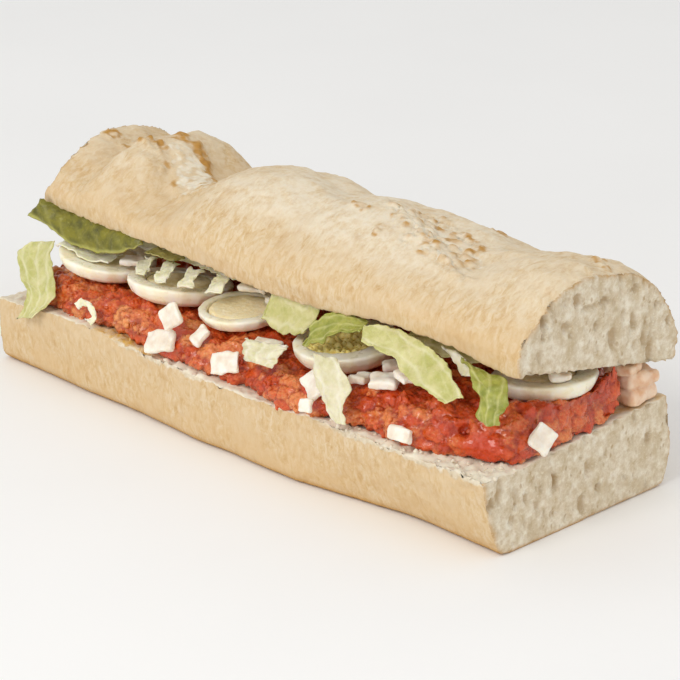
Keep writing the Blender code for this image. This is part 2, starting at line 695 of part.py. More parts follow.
ONIONS = [
    Onion("onion_01", (-27.6, 0, 27.6), (12.0, 8.0, 2.6), 22),
    Onion("onion_02", (-21.6, 0, 34.4), (8.6, 7.6, 2.6), 40),
    Onion("onion_03", (-13.8, 0, 32.0), (5.2, 6.8, 2.6), -14),
    Onion("onion_04", (1.0, 0, 28.6), (11.5, 7.4, 2.4), 22),
    Onion("onion_05", (10.5, -31.0, 0), (10.0, 6.0, 2.6), 20, Side.ABOVE),
    Onion("onion_06", (40.4, 0, 32.0), (10.5, 6.4, 2.2), -32),
    Onion("onion_07", (43.0, 0, 27.6), (4.6, 4.2, 2.0), 10),
    Onion("onion_08", (53.0, -31.0, 0), (6.0, 7.0, 2.8), 20, Side.ABOVE),
    Onion("onion_09", (63.0, -31.0, 0), (9.4, 7.2, 3.0), 32, Side.ABOVE),
    Onion("onion_10", (71.5, -29.5, 0), (7.4, 6.4, 3.0), -20, Side.ABOVE),
    Onion("onion_11", (55.0, -20.0, 0), (6.0, 5.4, 3.0), 50, Side.ABOVE),
    Onion("onion_12", (79.0, 0, 28.4), (8.4, 4.8, 3.0), 4),
    Onion("onion_13", (0, -16.5, 31.5), (8.4, 8.0, 2.6), 42, Side.RIGHT),
    Onion("onion_14", (-66.5, -21.0, 0), (8.0, 6.4, 2.6), 30, Side.ABOVE),
    Onion("onion_15", (-3.6, -14.0, 0), (7.4, 5.6, 2.6), -15, Side.ABOVE),
    Onion("onion_16", (-13.4, -14.6, 0), (10.0, 6.8, 2.4), 25, Side.ABOVE),
    Onion("onion_17", (106.6, 0.0, 0), (8.4, 6.4, 2.6), -38, Side.ABOVE),
    Onion("onion_18", (107.4, 32.6, 0), (11.4, 12.6, 4.8), 8, Side.ABOVE),
    Onion("onion_19", (107.8, 33.2, 0), (10.0, 12.8, 4.4), -6, Side.ABOVE),
    Onion("onion_20", (107.2, 28.4, 0), (9.4, 7.4, 3.0), 20, Side.ABOVE),
    Onion("onion_21", (-78.0, 0, 30.0), (8.0, 5.0, 2.4), 12, Side.BACK),
    Onion("onion_22", (-12.0, 0, 31.0), (6.4, 5.0, 2.4), -20, Side.BACK),
    Onion("onion_23", (44.0, 0, 30.0), (8.6, 5.0, 2.4), 6, Side.BACK),
]


def centre_on_base(objects, cutters):
    """Moves the whole sandwich so that the middle of its bounding box's base is the origin."""
    graph = bpy.context.evaluated_depsgraph_get()
    points = []
    for obj in objects:
        shown = obj.evaluated_get(graph)
        mesh = shown.to_mesh()
        points += [shown.matrix_world @ vert.co for vert in mesh.vertices]
        shown.to_mesh_clear()
    low = Vector([min(p[i] for p in points) for i in range(3)])
    high = Vector([max(p[i] for p in points) for i in range(3)])
    for obj in objects + cutters:
        obj.location -= Vector(((low.x + high.x) / 2, (low.y + high.y) / 2, low.z))


def clear_scene():
    """Removes whatever the scene holds."""
    for obj in list(bpy.data.objects):
        bpy.data.objects.remove(obj, do_unlink=True)


def main():
    """Builds the sandwich from the base up."""
    bread = material("crust", (0.76, 0.60, 0.36), 0.8)
    mince = material("mince", (0.52, 0.10, 0.04), 0.35)
    white = material("egg_white", (0.84, 0.80, 0.68), 0.4)
    yellow = material("egg_yolk", (0.80, 0.60, 0.20), 0.7)
    green = material("lettuce_green", (0.30, 0.38, 0.06), 0.45)
    pale = material("lettuce_pale", (0.66, 0.68, 0.36), 0.45)
    onion = material("onion", (0.82, 0.76, 0.66), 0.35)
    lower_half(bread)
    upper_half(bread)
    mince_bed(mince)
    for piece in EGGS:
        piece.build(white, yellow)
    bpy.context.view_layer.update()
    bed = Bed.of([obj for obj in SANDWICH.objects if obj.name != "bread_upper"])
    for leaf in LEAVES:
        leaf.build(green if leaf.dark else pale, bed)
    bpy.context.view_layer.update()
    for piece in ONIONS:
        loose = [obj for obj in SANDWICH.objects if obj.name != "bread_upper"]
        solid = Bed.of([obj for obj in loose if not obj.name.startswith("leaf")])
        piece.build(onion, solid, Bed.of(loose))
        bpy.context.view_layer.update()
    centre_on_base(list(SANDWICH.objects), list(CUTTERS.objects))


def collection(name):
    """A new collection in the scene."""
    made = bpy.data.collections.new(name)
    bpy.context.scene.collection.children.link(made)
    return made


clear_scene()
SANDWICH = collection("baguette_sandwich")
CUTTERS = collection("cutters")
main()
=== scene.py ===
"""A filled half baguette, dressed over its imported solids.

Every solid is skinned finely in its own place, and every leaf is laid along its own. The bread gets its
baked wrinkles, torn slashes and open crumb, the mince its wet grains, the egg its smooth white and
crumbly yolk, the lettuce its ribs and frills, and the onion its layers. Sizes are in millimetres and
become metres in the meshes. The studio alone is in metres.
"""

import itertools
import json
import logging
import math
from dataclasses import dataclass
from enum import Enum

import bmesh
import bpy
import numpy as np
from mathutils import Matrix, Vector
from mathutils.bvhtree import BVHTree
from mathutils.kdtree import KDTree

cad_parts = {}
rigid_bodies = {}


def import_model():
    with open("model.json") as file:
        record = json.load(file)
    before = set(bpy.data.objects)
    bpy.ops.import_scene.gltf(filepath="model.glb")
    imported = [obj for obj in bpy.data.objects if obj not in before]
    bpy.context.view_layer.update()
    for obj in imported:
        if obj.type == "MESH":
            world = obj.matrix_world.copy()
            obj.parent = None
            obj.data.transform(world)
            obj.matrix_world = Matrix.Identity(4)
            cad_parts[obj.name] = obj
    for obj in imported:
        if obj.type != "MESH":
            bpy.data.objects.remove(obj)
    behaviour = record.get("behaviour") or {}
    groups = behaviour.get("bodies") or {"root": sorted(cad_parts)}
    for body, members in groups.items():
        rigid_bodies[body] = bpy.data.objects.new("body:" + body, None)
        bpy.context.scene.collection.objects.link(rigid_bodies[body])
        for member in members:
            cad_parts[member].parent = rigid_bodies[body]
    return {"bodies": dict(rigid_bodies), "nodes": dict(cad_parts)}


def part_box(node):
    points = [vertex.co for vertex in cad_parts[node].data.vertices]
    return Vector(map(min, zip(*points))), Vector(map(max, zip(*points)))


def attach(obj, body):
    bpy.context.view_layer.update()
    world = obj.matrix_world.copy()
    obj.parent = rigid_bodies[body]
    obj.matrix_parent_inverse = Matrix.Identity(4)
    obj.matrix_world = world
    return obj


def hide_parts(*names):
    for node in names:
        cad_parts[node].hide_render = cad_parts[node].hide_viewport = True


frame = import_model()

MM = 0.001
BODY = "root"
LOG = logging.getLogger("sandwich")
Colour = tuple[float, float, float]
Spot = tuple[float, float, float]
Socket = bpy.types.NodeSocket


def srgb(red: int, green: int, blue: int) -> Colour:
    """Linear colour of three screen values from 0 to 255."""
    shares = (red / 255, green / 255, blue / 255)
    return tuple(c / 12.92 if c <= 0.04045 else ((c + 0.055) / 1.055) ** 2.4 for c in shares)


# Patterns on arrays of points


def scrambled(cells: np.ndarray, seed: int) -> np.ndarray:
    """Repeatable random numbers for whole-numbered cells.

    Args:
        cells: N x 3 whole numbers.
        seed: Which set of numbers to give.

    Returns:
        N x 3 numbers from 0 to 1.
    """
    c = cells.astype(np.int64).astype(np.uint64)
    mixed = c[:, 0] * np.uint64(73856093) ^ c[:, 1] * np.uint64(19349663) ^ c[:, 2] * np.uint64(83492791)
    mixed = mixed + np.uint64(seed * 668265263 + 374761393)
    out = np.empty((len(c), 3))
    for k in range(3):
        mixed = (mixed ^ (mixed >> np.uint64(15))) * np.uint64(2246822519) & np.uint64(0xFFFFFFFF)
        mixed = (mixed ^ (mixed >> np.uint64(13))) * np.uint64(3266489917) & np.uint64(0xFFFFFFFF)
        out[:, k] = (mixed & np.uint64(0xFFFF)).astype(float) / 65535
    return out


def swell(points: np.ndarray, size: float | Spot, seed: int) -> np.ndarray:
    """Smooth unevenness.

    Args:
        points: N x 3 places.
        size: How wide a bump is, the same all ways or one number for each axis.
        seed: Which pattern to give.

    Returns:
        N numbers, about -1 to 1.
    """
    p = points / np.asarray(size, float)
    base = np.floor(p)
    rest = p - base
    ease = rest**3 * (rest * (rest * 6 - 15) + 10)
    total = np.zeros(len(p))
    for corner in itertools.product((0, 1), repeat=3):
        corner = np.array(corner)
        slope = scrambled(base + corner, seed) * 2 - 1
        weight = np.prod(np.where(corner, ease, 1 - ease), axis=1)
        total += weight * (slope * (rest - corner)).sum(axis=1)
    return total * 1.7


def grains(points: np.ndarray, size: float | Spot, seed: int) -> tuple[np.ndarray, np.ndarray, np.ndarray]:
    """Cells like packed grains.

    Args:
        points: N x 3 places.
        size: How wide a grain is.
        seed: Which pattern to give.

    Returns:
        The distance to the nearest grain's middle, how much further the next one is, and a random number
        from 0 to 1 for the nearest grain, all for N places. Distances are shares of a grain's size.
    """
    p = points / np.asarray(size, float)
    base = np.floor(p)
    first, second, which = np.full(len(p), 9.0), np.full(len(p), 9.0), np.zeros(len(p))
    for offset in itertools.product((-1, 0, 1), repeat=3):
        cell = base + np.array(offset)
        spot = scrambled(cell, seed)
        distance = np.linalg.norm(cell + spot - p, axis=1)
        nearer = distance < first
        second = np.where(nearer, first, np.minimum(second, distance))
        which = np.where(nearer, (spot[:, 0] * 7.3 + spot[:, 1] * 3.1) % 1.0, which)
        first = np.where(nearer, distance, first)
    return first, second - first, which


def step(low: float, high: float, value: np.ndarray) -> np.ndarray:
    """A smooth rise, or a fall where low is above high.

    Args:
        low: Where it is still 0.
        high: Where it reaches 1.
        value: What is measured.

    Returns:
        A number from 0 to 1 for each value.
    """
    t = np.clip((value - low) / (high - low), 0, 1)
    return t * t * (3 - 2 * t)


def along(stations: list[tuple[float, float]], x: float) -> float:
    """Reads a smooth curve through stations.

    Args:
        stations: Pairs of x and value, in order of x.
        x: Where to read the curve.

    Returns:
        The value there, and past the ends that of the last station.
    """
    if x <= stations[0][0]:
        return stations[0][1]
    for i, ((x0, v0), (x1, v1)) in enumerate(zip(stations, stations[1:])):
        if x <= x1:
            start = (v1 - stations[max(i - 1, 0)][1]) / 2
            end = (stations[min(i + 2, len(stations) - 1)][1] - v0) / 2
            t = (x - x0) / (x1 - x0)
            return (v0 * (2 * t**3 - 3 * t**2 + 1) + start * (t**3 - 2 * t**2 + t)
                    + v1 * (3 * t**2 - 2 * t**3) + end * (t**3 - t**2))
    return stations[-1][1]


# Finishes


class Recipe:
    """The node tree of one procedural finish, on the piece's own object coordinates."""

    def __init__(self, name: str) -> None:
        """Starts an empty finish.

        Args:
            name: The finish's name.
        """
        self.material = bpy.data.materials.new(name)
        self.material.use_nodes = True
        self.nodes = self.material.node_tree.nodes
        self.links = self.material.node_tree.links
        self.shader = self.nodes["Principled BSDF"]
        self.place = self.nodes.new("ShaderNodeTexCoord").outputs["Object"]
        self.relief = None

    def stretched(self, stretch: Spot) -> Socket:
        """Object coordinates, multiplied on each axis.

        Args:
            stretch: What each axis is multiplied by.

        Returns:
            The coordinates.
        """
        if stretch == (1, 1, 1):
            return self.place
        mapping = self.nodes.new("ShaderNodeMapping")
        mapping.inputs["Scale"].default_value = stretch
        self.links.new(self.place, mapping.inputs["Vector"])
        return mapping.outputs["Vector"]

    def noise(self, size: float, detail: float = 3.0, rough: float = 0.55, stretch: Spot = (1, 1, 1),
              warp: float = 0.0) -> Socket:
        """Cloudy noise.

        Args:
            size: How wide its features are, in millimetres.
            detail: How many finer layers it has.
            rough: How strong the finer layers are.
            stretch: What the coordinates are multiplied by on each axis.
            warp: How far it is twisted.

        Returns:
            Its value, from 0 to 1.
        """
        node = self.nodes.new("ShaderNodeTexNoise")
        node.inputs["Scale"].default_value = 1 / (size * MM)
        node.inputs["Detail"].default_value = detail
        node.inputs["Roughness"].default_value = rough
        node.inputs["Distortion"].default_value = warp
        self.links.new(self.stretched(stretch), node.inputs["Vector"])
        return node.outputs["Fac"]

    def cells(self, size: float, stretch: Spot = (1, 1, 1)) -> Socket:
        """Packed cells.

        Args:
            size: How wide a cell is, in millimetres.
            stretch: What the coordinates are multiplied by on each axis.

        Returns:
            The distance to the middle of the nearest cell, as a share of its size.
        """
        node = self.nodes.new("ShaderNodeTexVoronoi")
        node.feature = "F1"
        node.inputs["Scale"].default_value = 1 / (size * MM)
        self.links.new(self.stretched(stretch), node.inputs["Vector"])
        return node.outputs["Distance"]

    def mark(self, name: str) -> Socket:
        """A value that the mesh carries from point to point.

        Args:
            name: The value's name.

        Returns:
            The value, which is 0 where the mesh has none.
        """
        node = self.nodes.new("ShaderNodeAttribute")
        node.attribute_name = name
        return node.outputs["Fac"]

    def span(self, value: Socket, low: float, high: float, to_low: float = 0.0,
             to_high: float = 1.0) -> Socket:
        """Spreads a value smoothly over another range.

        Args:
            value: What is spread.
            low: The value that becomes to_low.
            high: The value that becomes to_high.
            to_low: What comes out at low.
            to_high: What comes out at high.

        Returns:
            The new value.
        """
        node = self.nodes.new("ShaderNodeMapRange")
        node.interpolation_type = "SMOOTHSTEP"
        for name, number in zip(("From Min", "From Max", "To Min", "To Max"), (low, high, to_low, to_high)):
            node.inputs[name].default_value = number
        self.links.new(value, node.inputs["Value"])
        return node.outputs["Result"]

    def times(self, a: Socket, b: Socket | float) -> Socket:
        """The product of two values, kept from 0 to 1."""
        return self.sums("MULTIPLY", a, b)

    def sums(self, operation: str, a: Socket, b: Socket | float) -> Socket:
        """One sum on two values.

        Args:
            operation: The sum, by its name in Blender.
            a: The first value.
            b: The second value, or a number.

        Returns:
            The result, which is kept from 0 to 1 unless it is a plain addition.
        """
        node = self.nodes.new("ShaderNodeMath")
        node.operation = operation
        node.use_clamp = operation != "ADD"
        self.links.new(a, node.inputs[0])
        if isinstance(b, float):
            node.inputs[1].default_value = b
        else:
            self.links.new(b, node.inputs[1])
        return node.outputs["Value"]

    def ramp(self, value: Socket, stops: list[tuple[float, Colour]]) -> Socket:
        """A colour for each value.

        Args:
            value: What picks the colour.
            stops: Pairs of value and colour, in order.

        Returns:
            The colour.
        """
        node = self.nodes.new("ShaderNodeValToRGB")
        while len(node.color_ramp.elements) < len(stops):
            node.color_ramp.elements.new(0.5)
        for element, (at, colour) in zip(node.color_ramp.elements, stops):
            element.position = at
            element.color = (*colour, 1)
        self.links.new(value, node.inputs["Fac"])
        return node.outputs["Color"]

    def mix(self, share: Socket, under: Socket,
            over: Socket | Colour) -> Socket:
        """One colour laid over another.

        Args:
            share: How much of the upper colour shows.
            under: The lower colour.
            over: The upper colour.

        Returns:
            The mixed colour.
        """
        node = self.nodes.new("ShaderNodeMix")
        node.data_type = "RGBA"
        self.links.new(share, node.inputs[0])
        self.links.new(under, node.inputs[6])
        if isinstance(over, tuple):
            node.inputs[7].default_value = (*over, 1)
        else:
            self.links.new(over, node.inputs[7])
        return node.outputs[2]

    def bump(self, height: Socket, depth: float, strength: float = 1.0) -> None:
        """Adds relief on top of what is there.

        Args:
            height: The relief's height, from 0 to 1.
            depth: How deep it is, in millimetres.
            strength: How much of it shows.
        """
        node = self.nodes.new("ShaderNodeBump")
        node.inputs["Distance"].default_value = depth * MM
        node.inputs["Strength"].default_value = strength
        self.links.new(height, node.inputs["Height"])
        if self.relief is not None:
            self.links.new(self.relief, node.inputs["Normal"])
        self.relief = node.outputs["Normal"]

    def done(self, colour: Socket, rough: Socket | float,
             **sockets: float | tuple) -> bpy.types.Material:
        """Joins colour, roughness and relief to the shader.

        Args:
            colour: The base colour.
            rough: The roughness.
            sockets: Numbers or colours for other sockets, with _ for a space in their names.

        Returns:
            The finished material.
        """
        self.links.new(colour, self.shader.inputs["Base Color"])
        if isinstance(rough, float):
            self.shader.inputs["Roughness"].default_value = rough
        else:
            self.links.new(rough, self.shader.inputs["Roughness"])
        if self.relief is not None:
            self.links.new(self.relief, self.shader.inputs["Normal"])
        for name, value in sockets.items():
            self.shader.inputs[name.replace("_", " ")].default_value = value
        return self.material


@dataclass(frozen=True)
class BakedBread:
    """Floury crust, and the pale crumb inside it."""

    flour: Colour = srgb(226, 209, 180)
    cream: Colour = srgb(214, 188, 146)
    tan: Colour = srgb(193, 155, 106)
    gold: Colour = srgb(208, 170, 113)
    toast: Colour = srgb(186, 134, 50)
    char: Colour = srgb(138, 86, 46)
    crumb: Colour = srgb(218, 203, 177)
    shade: Colour = srgb(199, 179, 145)
    # Painted shade: the colour painted into the crumb's holes and pits.
    hollow: Colour = srgb(170, 140, 98)
    torn: Colour = srgb(238, 229, 209)
    juice: Colour = srgb(206, 160, 74)

    def crust_colour(self, r: Recipe, streak: Socket, blotch: Socket, grit: Socket) -> Socket:
        """The baked outside.

        Args:
            r: The finish's node tree.
            streak: Fine noise that runs round the loaf.
            blotch: Noise of wide patches.
            grit: The finest noise.

        Returns:
            Its colour.
        """
        crust = r.ramp(streak, [(0.28, self.tan), (0.45, self.cream), (0.63, self.flour)])
        crust = r.mix(r.span(blotch, 0.40, 0.66, 0.0, 0.6), crust, self.flour)
        patch = r.noise(6.0, 5.0, 0.65, (1.0, 0.6, 0.6))
        crust = r.mix(r.span(patch, 0.52, 0.72, 0.0, 0.42), crust, self.tan)
        freckle = r.noise(2.4, 5.0, 0.7, (1.0, 0.45, 0.45), 0.8)
        crust = r.mix(r.span(freckle, 0.62, 0.76, 0.0, 0.5), crust, self.gold)
        crust = r.mix(r.span(grit, 0.62, 0.78, 0.0, 0.36), crust, self.toast)
        crust = r.mix(r.span(r.noise(1.1, 4.0, 0.7), 0.60, 0.74, 0.0, 0.5), crust, self.torn)
        golden = r.times(r.mark("gold"), r.span(blotch, 0.3, 0.6, 0.3, 0.75))
        crust = r.mix(golden, crust, self.gold)
        floury = r.times(r.mark("floury"), r.span(r.noise(4.0, 5.0, 0.7), 0.36, 0.62, 0.2, 0.75))
        crust = r.mix(floury, crust, self.torn)
        # The toast mark also carries the painted shade at the lower half's left end.
        toast = r.mark("toast")
        crust = r.mix(r.span(toast, 0.12, 0.8, 0.0, 0.9), crust, self.toast)
        return r.mix(r.span(toast, 0.85, 1.5, 0.0, 0.55), crust, self.char)

    def crumb_colour(self, r: Recipe, weave: Socket) -> Socket:
        """The open inside.

        Args:
            r: The finish's node tree.
            weave: Noise of the crumb's own grain.

        Returns:
            Its colour.
        """
        crumb = r.ramp(weave, [(0.34, self.shade), (0.50, self.crumb), (0.66, self.torn)])
        cloud = r.noise(7.0, 3.0, 0.5, (1.0, 1.0, 0.6))
        crumb = r.mix(r.span(cloud, 0.50, 0.70, 0.0, 0.7), crumb, self.shade)
        # Painted shade: small dark cells painted in for the shade inside the crumb's holes.
        holes = r.span(r.cells(2.3, (1.0, 1.0, 0.6)), 0.30, 0.12)
        crumb = r.mix(r.times(holes, r.span(r.noise(9.0), 0.4, 0.6, 0.0, 0.6)), crumb, self.hollow)
        crumb = r.mix(r.span(r.noise(0.9, 3.0, 0.6), 0.52, 0.72, 0.0, 0.5), crumb, self.torn)
        crumb = r.mix(r.span(r.mark("torn"), 0.1, 0.9, 0.0, 0.85), crumb, self.torn)
        # Painted shade in the opened holes and pits.
        crumb = r.mix(r.span(r.mark("pore"), 0.15, 1.0, 0.0, 0.75), crumb, self.hollow)
        return r.mix(r.mark("rim"), crumb, self.toast)

    def material(self) -> bpy.types.Material:
        """The finish as a material."""
        r = Recipe("baked_bread")
        streak = r.noise(1.9, 6.0, 0.68, (1.0, 0.5, 0.5), 0.7)
        blotch = r.noise(15.0, 4.0, 0.6)
        grit = r.noise(0.6, 3.0, 0.7)
        weave = r.noise(3.4, 6.0, 0.68)
        crust = self.crust_colour(r, streak, blotch, grit)
        colour = r.mix(r.span(r.mark("crumb"), 0.3, 0.7), crust, self.crumb_colour(r, weave))
        stain = r.times(r.mark("stain"), r.span(weave, 0.35, 0.6, 0.35, 1.0))
        colour = r.mix(stain, colour, self.juice)
        r.bump(streak, 0.22, 0.45)
        r.bump(grit, 0.18, 0.6)
        return r.done(colour, r.span(blotch, 0.3, 0.7, 0.72, 0.9), Specular_IOR_Level=0.3,
                      Subsurface_Weight=0.08, Subsurface_Radius=(1.0, 0.7, 0.4), Subsurface_Scale=0.0015)


@dataclass(frozen=True)
class SaucyMince:
    """Fine cooked mince in a red sauce, wet all over."""

    # Painted shade: the deep red painted into the crevices, low places and hollows.
    dark: Colour = srgb(156, 36, 6)
    red: Colour = srgb(202, 60, 8)
    brown: Colour = srgb(214, 88, 28)
    pale: Colour = srgb(238, 156, 90)

    def material(self) -> bpy.types.Material:
        """The finish as a material."""
        r = Recipe("saucy_mince")
        fleck = r.noise(1.0, 5.0, 0.7)
        tone = r.sums("ADD", r.times(r.mark("grain"), 0.42), r.times(fleck, 0.62))
        meat = r.ramp(tone, [(0.26, self.red), (0.48, self.brown), (0.74, self.pale)])
        sauce = r.times(r.mark("saucy"), r.span(r.noise(4.0, 3.0), 0.3, 0.6, 0.3, 0.9))
        meat = r.mix(sauce, meat, self.red)
        # Painted shade in the crevices.
        meat = r.mix(r.span(r.mark("crevice"), 0.1, 1.0, 0.0, 0.8), meat, self.dark)
        r.bump(r.span(r.cells(1.5), 0.05, 0.75, 1.0, 0.0), 0.5, 0.8)
        r.bump(r.noise(0.7, 4.0, 0.6), 0.25, 0.6)
        wet = r.span(r.noise(1.8, 3.0), 0.38, 0.62, 0.24, 0.5)
        return r.done(meat, wet, Subsurface_Weight=0.15, Subsurface_Radius=(1.0, 0.3, 0.1),
                      Subsurface_Scale=0.0012, Specular_IOR_Level=0.35, Coat_Weight=0.6, Coat_Roughness=0.1)


@dataclass(frozen=True)
class EggWhite:
    """Boiled egg white: smooth, satin and a little translucent."""

    white: Colour = srgb(254, 247, 228)
    warm: Colour = srgb(249, 236, 204)

    def material(self) -> bpy.types.Material:
        """The finish as a material."""
        r = Recipe("egg_white")
        colour = r.ramp(r.noise(6.0, 3.0, 0.5), [(0.35, self.warm), (0.6, self.white)])
        colour = r.mix(r.span(r.noise(1.6, 3.0, 0.6), 0.6, 0.8, 0.0, 0.3), colour, self.warm)
        r.bump(r.noise(1.8, 3.0, 0.5), 0.12, 0.35)
        return r.done(colour, r.span(r.noise(3.0), 0.3, 0.7, 0.24, 0.42), Subsurface_Weight=0.4,
                      Subsurface_Radius=(1.0, 0.8, 0.5), Subsurface_Scale=0.003)


@dataclass(frozen=True)
class EggYolk:
    """Hard-boiled yolk: crumbly and dull, with a deeper gold painted into its crevices as shade."""

    name: str = "egg_yolk"
    pale: Colour = srgb(254, 240, 204)
    gold: Colour = srgb(249, 228, 172)
    # Painted shade: the deeper gold painted into the crevices.
    deep: Colour = srgb(226, 190, 110)

    def material(self) -> bpy.types.Material:
        """The finish as a material."""
        r = Recipe(self.name)
        colour = r.ramp(r.noise(1.6, 4.0, 0.65), [(0.34, self.gold), (0.62, self.pale)])
        colour = r.mix(r.span(r.mark("crevice"), 0.1, 0.9, 0.0, 0.85), colour, self.deep)
        r.bump(r.noise(0.6, 4.0, 0.7), 0.3, 0.8)
        return r.done(colour, 0.75, Subsurface_Weight=0.15, Subsurface_Radius=(1.0, 0.7, 0.2),
                      Subsurface_Scale=0.001)


@dataclass(frozen=True)
class Lettuce:
    """A leaf's blade, with its paler ribs and thin edges."""

    name: str
    blade: Colour
    deep: Colour
    rib: Colour

    def material(self) -> bpy.types.Material:
        """The finish as a material."""
        r = Recipe(self.name)
        colour = r.ramp(r.noise(4.5, 4.0, 0.6), [(0.34, self.deep), (0.62, self.blade)])
        colour = r.mix(r.span(r.noise(1.2, 3.0, 0.6), 0.55, 0.75, 0.0, 0.3), colour, self.rib)
        colour = r.mix(r.times(r.mark("vein"), 0.75), colour, self.rib)
        r.bump(r.noise(1.5, 3.0, 0.6), 0.35, 0.6)
        r.bump(r.cells(1.1), 0.14, 0.5)
        return r.done(colour, r.span(r.noise(3.0), 0.3, 0.7, 0.3, 0.5), Subsurface_Weight=0.3,
                      Subsurface_Radius=(0.7, 0.9, 0.3), Subsurface_Scale=0.001)


@dataclass(frozen=True)
class RawOnion:
    """Raw onion, wet and translucent, with faint lines along its layers."""

    name: str
    flesh: Colour
    line: Colour

    def material(self) -> bpy.types.Material:
        """The finish as a material."""
        r = Recipe(self.name)
        colour = r.ramp(r.noise(3.2, 3.0, 0.5), [(0.32, self.line), (0.6, self.flesh)])
        lines = r.noise(0.9, 2.0, 0.5, (1.0, 0.25, 0.25))
        colour = r.mix(r.span(lines, 0.56, 0.75, 0.0, 0.4), colour, self.line)
        r.bump(lines, 0.12, 0.5)
        return r.done(colour, 0.28, Subsurface_Weight=0.45, Subsurface_Radius=(1.0, 0.85, 0.6),
                      Subsurface_Scale=0.002)


# The crumbled yolk's last colour is the painted shade in its crevices.
CRUMBLED_YOLK = EggYolk("egg_yolk_crumbled", srgb(255, 240, 166), srgb(251, 226, 122), srgb(240, 202, 92))
CLEAR_ONION = RawOnion("onion_clear", srgb(247, 240, 227), srgb(232, 217, 197))
STAINED_ONION = RawOnion("onion_stained", srgb(238, 210, 182), srgb(224, 178, 138))


class LeafKind(Enum):
    """The lettuces in the sandwich, by which part of the head they come from; the dark one is also painted
    darker as shade from the lid over it.
    """

    # Painted shade: a green leaf painted dark for the shade of the lid over it.
    DARK = Lettuce("lettuce_dark", srgb(128, 122, 22), srgb(84, 82, 8), srgb(184, 180, 96))
    OLIVE = Lettuce("lettuce_olive", srgb(160, 150, 84), srgb(124, 116, 52), srgb(196, 188, 134))
    FRESH = Lettuce("lettuce_fresh", srgb(169, 169, 74), srgb(130, 137, 44), srgb(208, 204, 140))
    BRIGHT = Lettuce("lettuce_bright", srgb(211, 205, 145), srgb(185, 183, 104), srgb(232, 227, 190))
    STRIP = Lettuce("lettuce_strip", srgb(229, 222, 192), srgb(211, 204, 158), srgb(242, 238, 220))
    HEART = Lettuce("lettuce_heart", srgb(246, 243, 218), srgb(232, 229, 182), srgb(252, 250, 238))


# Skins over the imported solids


@dataclass
class Skin:
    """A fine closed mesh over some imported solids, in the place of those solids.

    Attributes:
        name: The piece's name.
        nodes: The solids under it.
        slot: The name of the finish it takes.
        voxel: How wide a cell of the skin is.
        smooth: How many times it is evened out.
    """

    name: str
    nodes: tuple[str, ...]
    slot: str
    voxel: float
    smooth: int

    WELD = 1e-6  # metres within which loose corners are the same corner

    def merged(self) -> bpy.types.Object:
        """The solids' meshes in one object, with their loose triangles joined."""
        bm = bmesh.new()
        for node in self.nodes:
            bm.from_mesh(frame["nodes"][node].data)
        bmesh.ops.remove_doubles(bm, verts=bm.verts, dist=self.WELD)
        mesh = bpy.data.meshes.new(self.name)
        bm.to_mesh(mesh)
        bm.free()
        for layer in [a.name for a in mesh.attributes if a.name.startswith("custom_normal")]:
            mesh.attributes.remove(mesh.attributes[layer])
        obj = bpy.data.objects.new(self.name, mesh)
        bpy.context.scene.collection.objects.link(obj)
        return obj

    def make(self) -> bpy.types.Object:
        """Skins the solids and gives the object, with its relief still to come."""
        obj = self.merged()
        remesh = obj.modifiers.new("skin", "REMESH")
        remesh.mode = "VOXEL"
        remesh.voxel_size = self.voxel * MM
        even = obj.modifiers.new("even", "SMOOTH")
        even.factor = 0.5
        even.iterations = self.smooth
        return settled(obj)

    def finish(self, obj: bpy.types.Object, material: bpy.types.Material) -> bpy.types.Object:
        """Dresses the piece and puts it in the place of its solids.

        Args:
            obj: The piece.
            material: Its finish.

        Returns:
            The same piece.
        """
        obj.data.materials.clear()
        obj.data.materials.append(material)
        obj.data.shade_smooth()
        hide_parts(*self.nodes)
        return settle_in(obj, self.slot)


def settled(obj: bpy.types.Object) -> bpy.types.Object:
    """Works an object's modifiers into its mesh.

    Args:
        obj: The piece.

    Returns:
        The same piece, without modifiers.
    """
    graph = bpy.context.evaluated_depsgraph_get()
    mesh = bpy.data.meshes.new_from_object(obj.evaluated_get(graph))
    mesh.name = obj.name
    obj.modifiers.clear()
    obj.data = mesh
    return obj


def settle_in(obj: bpy.types.Object, slot: str) -> bpy.types.Object:
    """Lets a piece ride with the food, and reports it.

    Args:
        obj: The piece.
        slot: The name of its finish; not used.

    Returns:
        The same piece.
    """
    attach(obj, BODY)
    LOG.info("%s: %d points, %d faces", obj.name, len(obj.data.vertices), len(obj.data.polygons))
    return obj


def read(obj: bpy.types.Object) -> tuple[np.ndarray, np.ndarray]:
    """Reads a mesh.

    Args:
        obj: The piece.

    Returns:
        Its points in millimetres and its normals, each N x 3.
    """
    count = len(obj.data.vertices)
    points, normals = np.empty(count * 3), np.empty(count * 3)
    obj.data.vertices.foreach_get("co", points)
    obj.data.vertex_normals.foreach_get("vector", normals)
    return points.reshape(-1, 3) / MM, normals.reshape(-1, 3)


def write(obj: bpy.types.Object, points: np.ndarray, nodes: tuple[str, ...]) -> None:
    """Moves the points of a mesh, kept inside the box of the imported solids.

    Args:
        obj: The piece.
        points: New places in millimetres.
        nodes: The solids whose box holds it.
    """
    corners = np.array([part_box(node) for node in nodes]) / MM
    low, high = corners[:, 0].min(axis=0), corners[:, 1].max(axis=0)
    points = np.clip(points, low, high)
    obj.data.vertices.foreach_set("co", (points * MM).ravel())
    obj.data.update()


def mark(obj: bpy.types.Object, name: str, values: np.ndarray) -> None:
    """Lets the mesh carry a value from point to point."""
    layer = obj.data.attributes.new(name, "FLOAT", "POINT")
    layer.data.foreach_set("value", values.astype(np.float32))


# The food


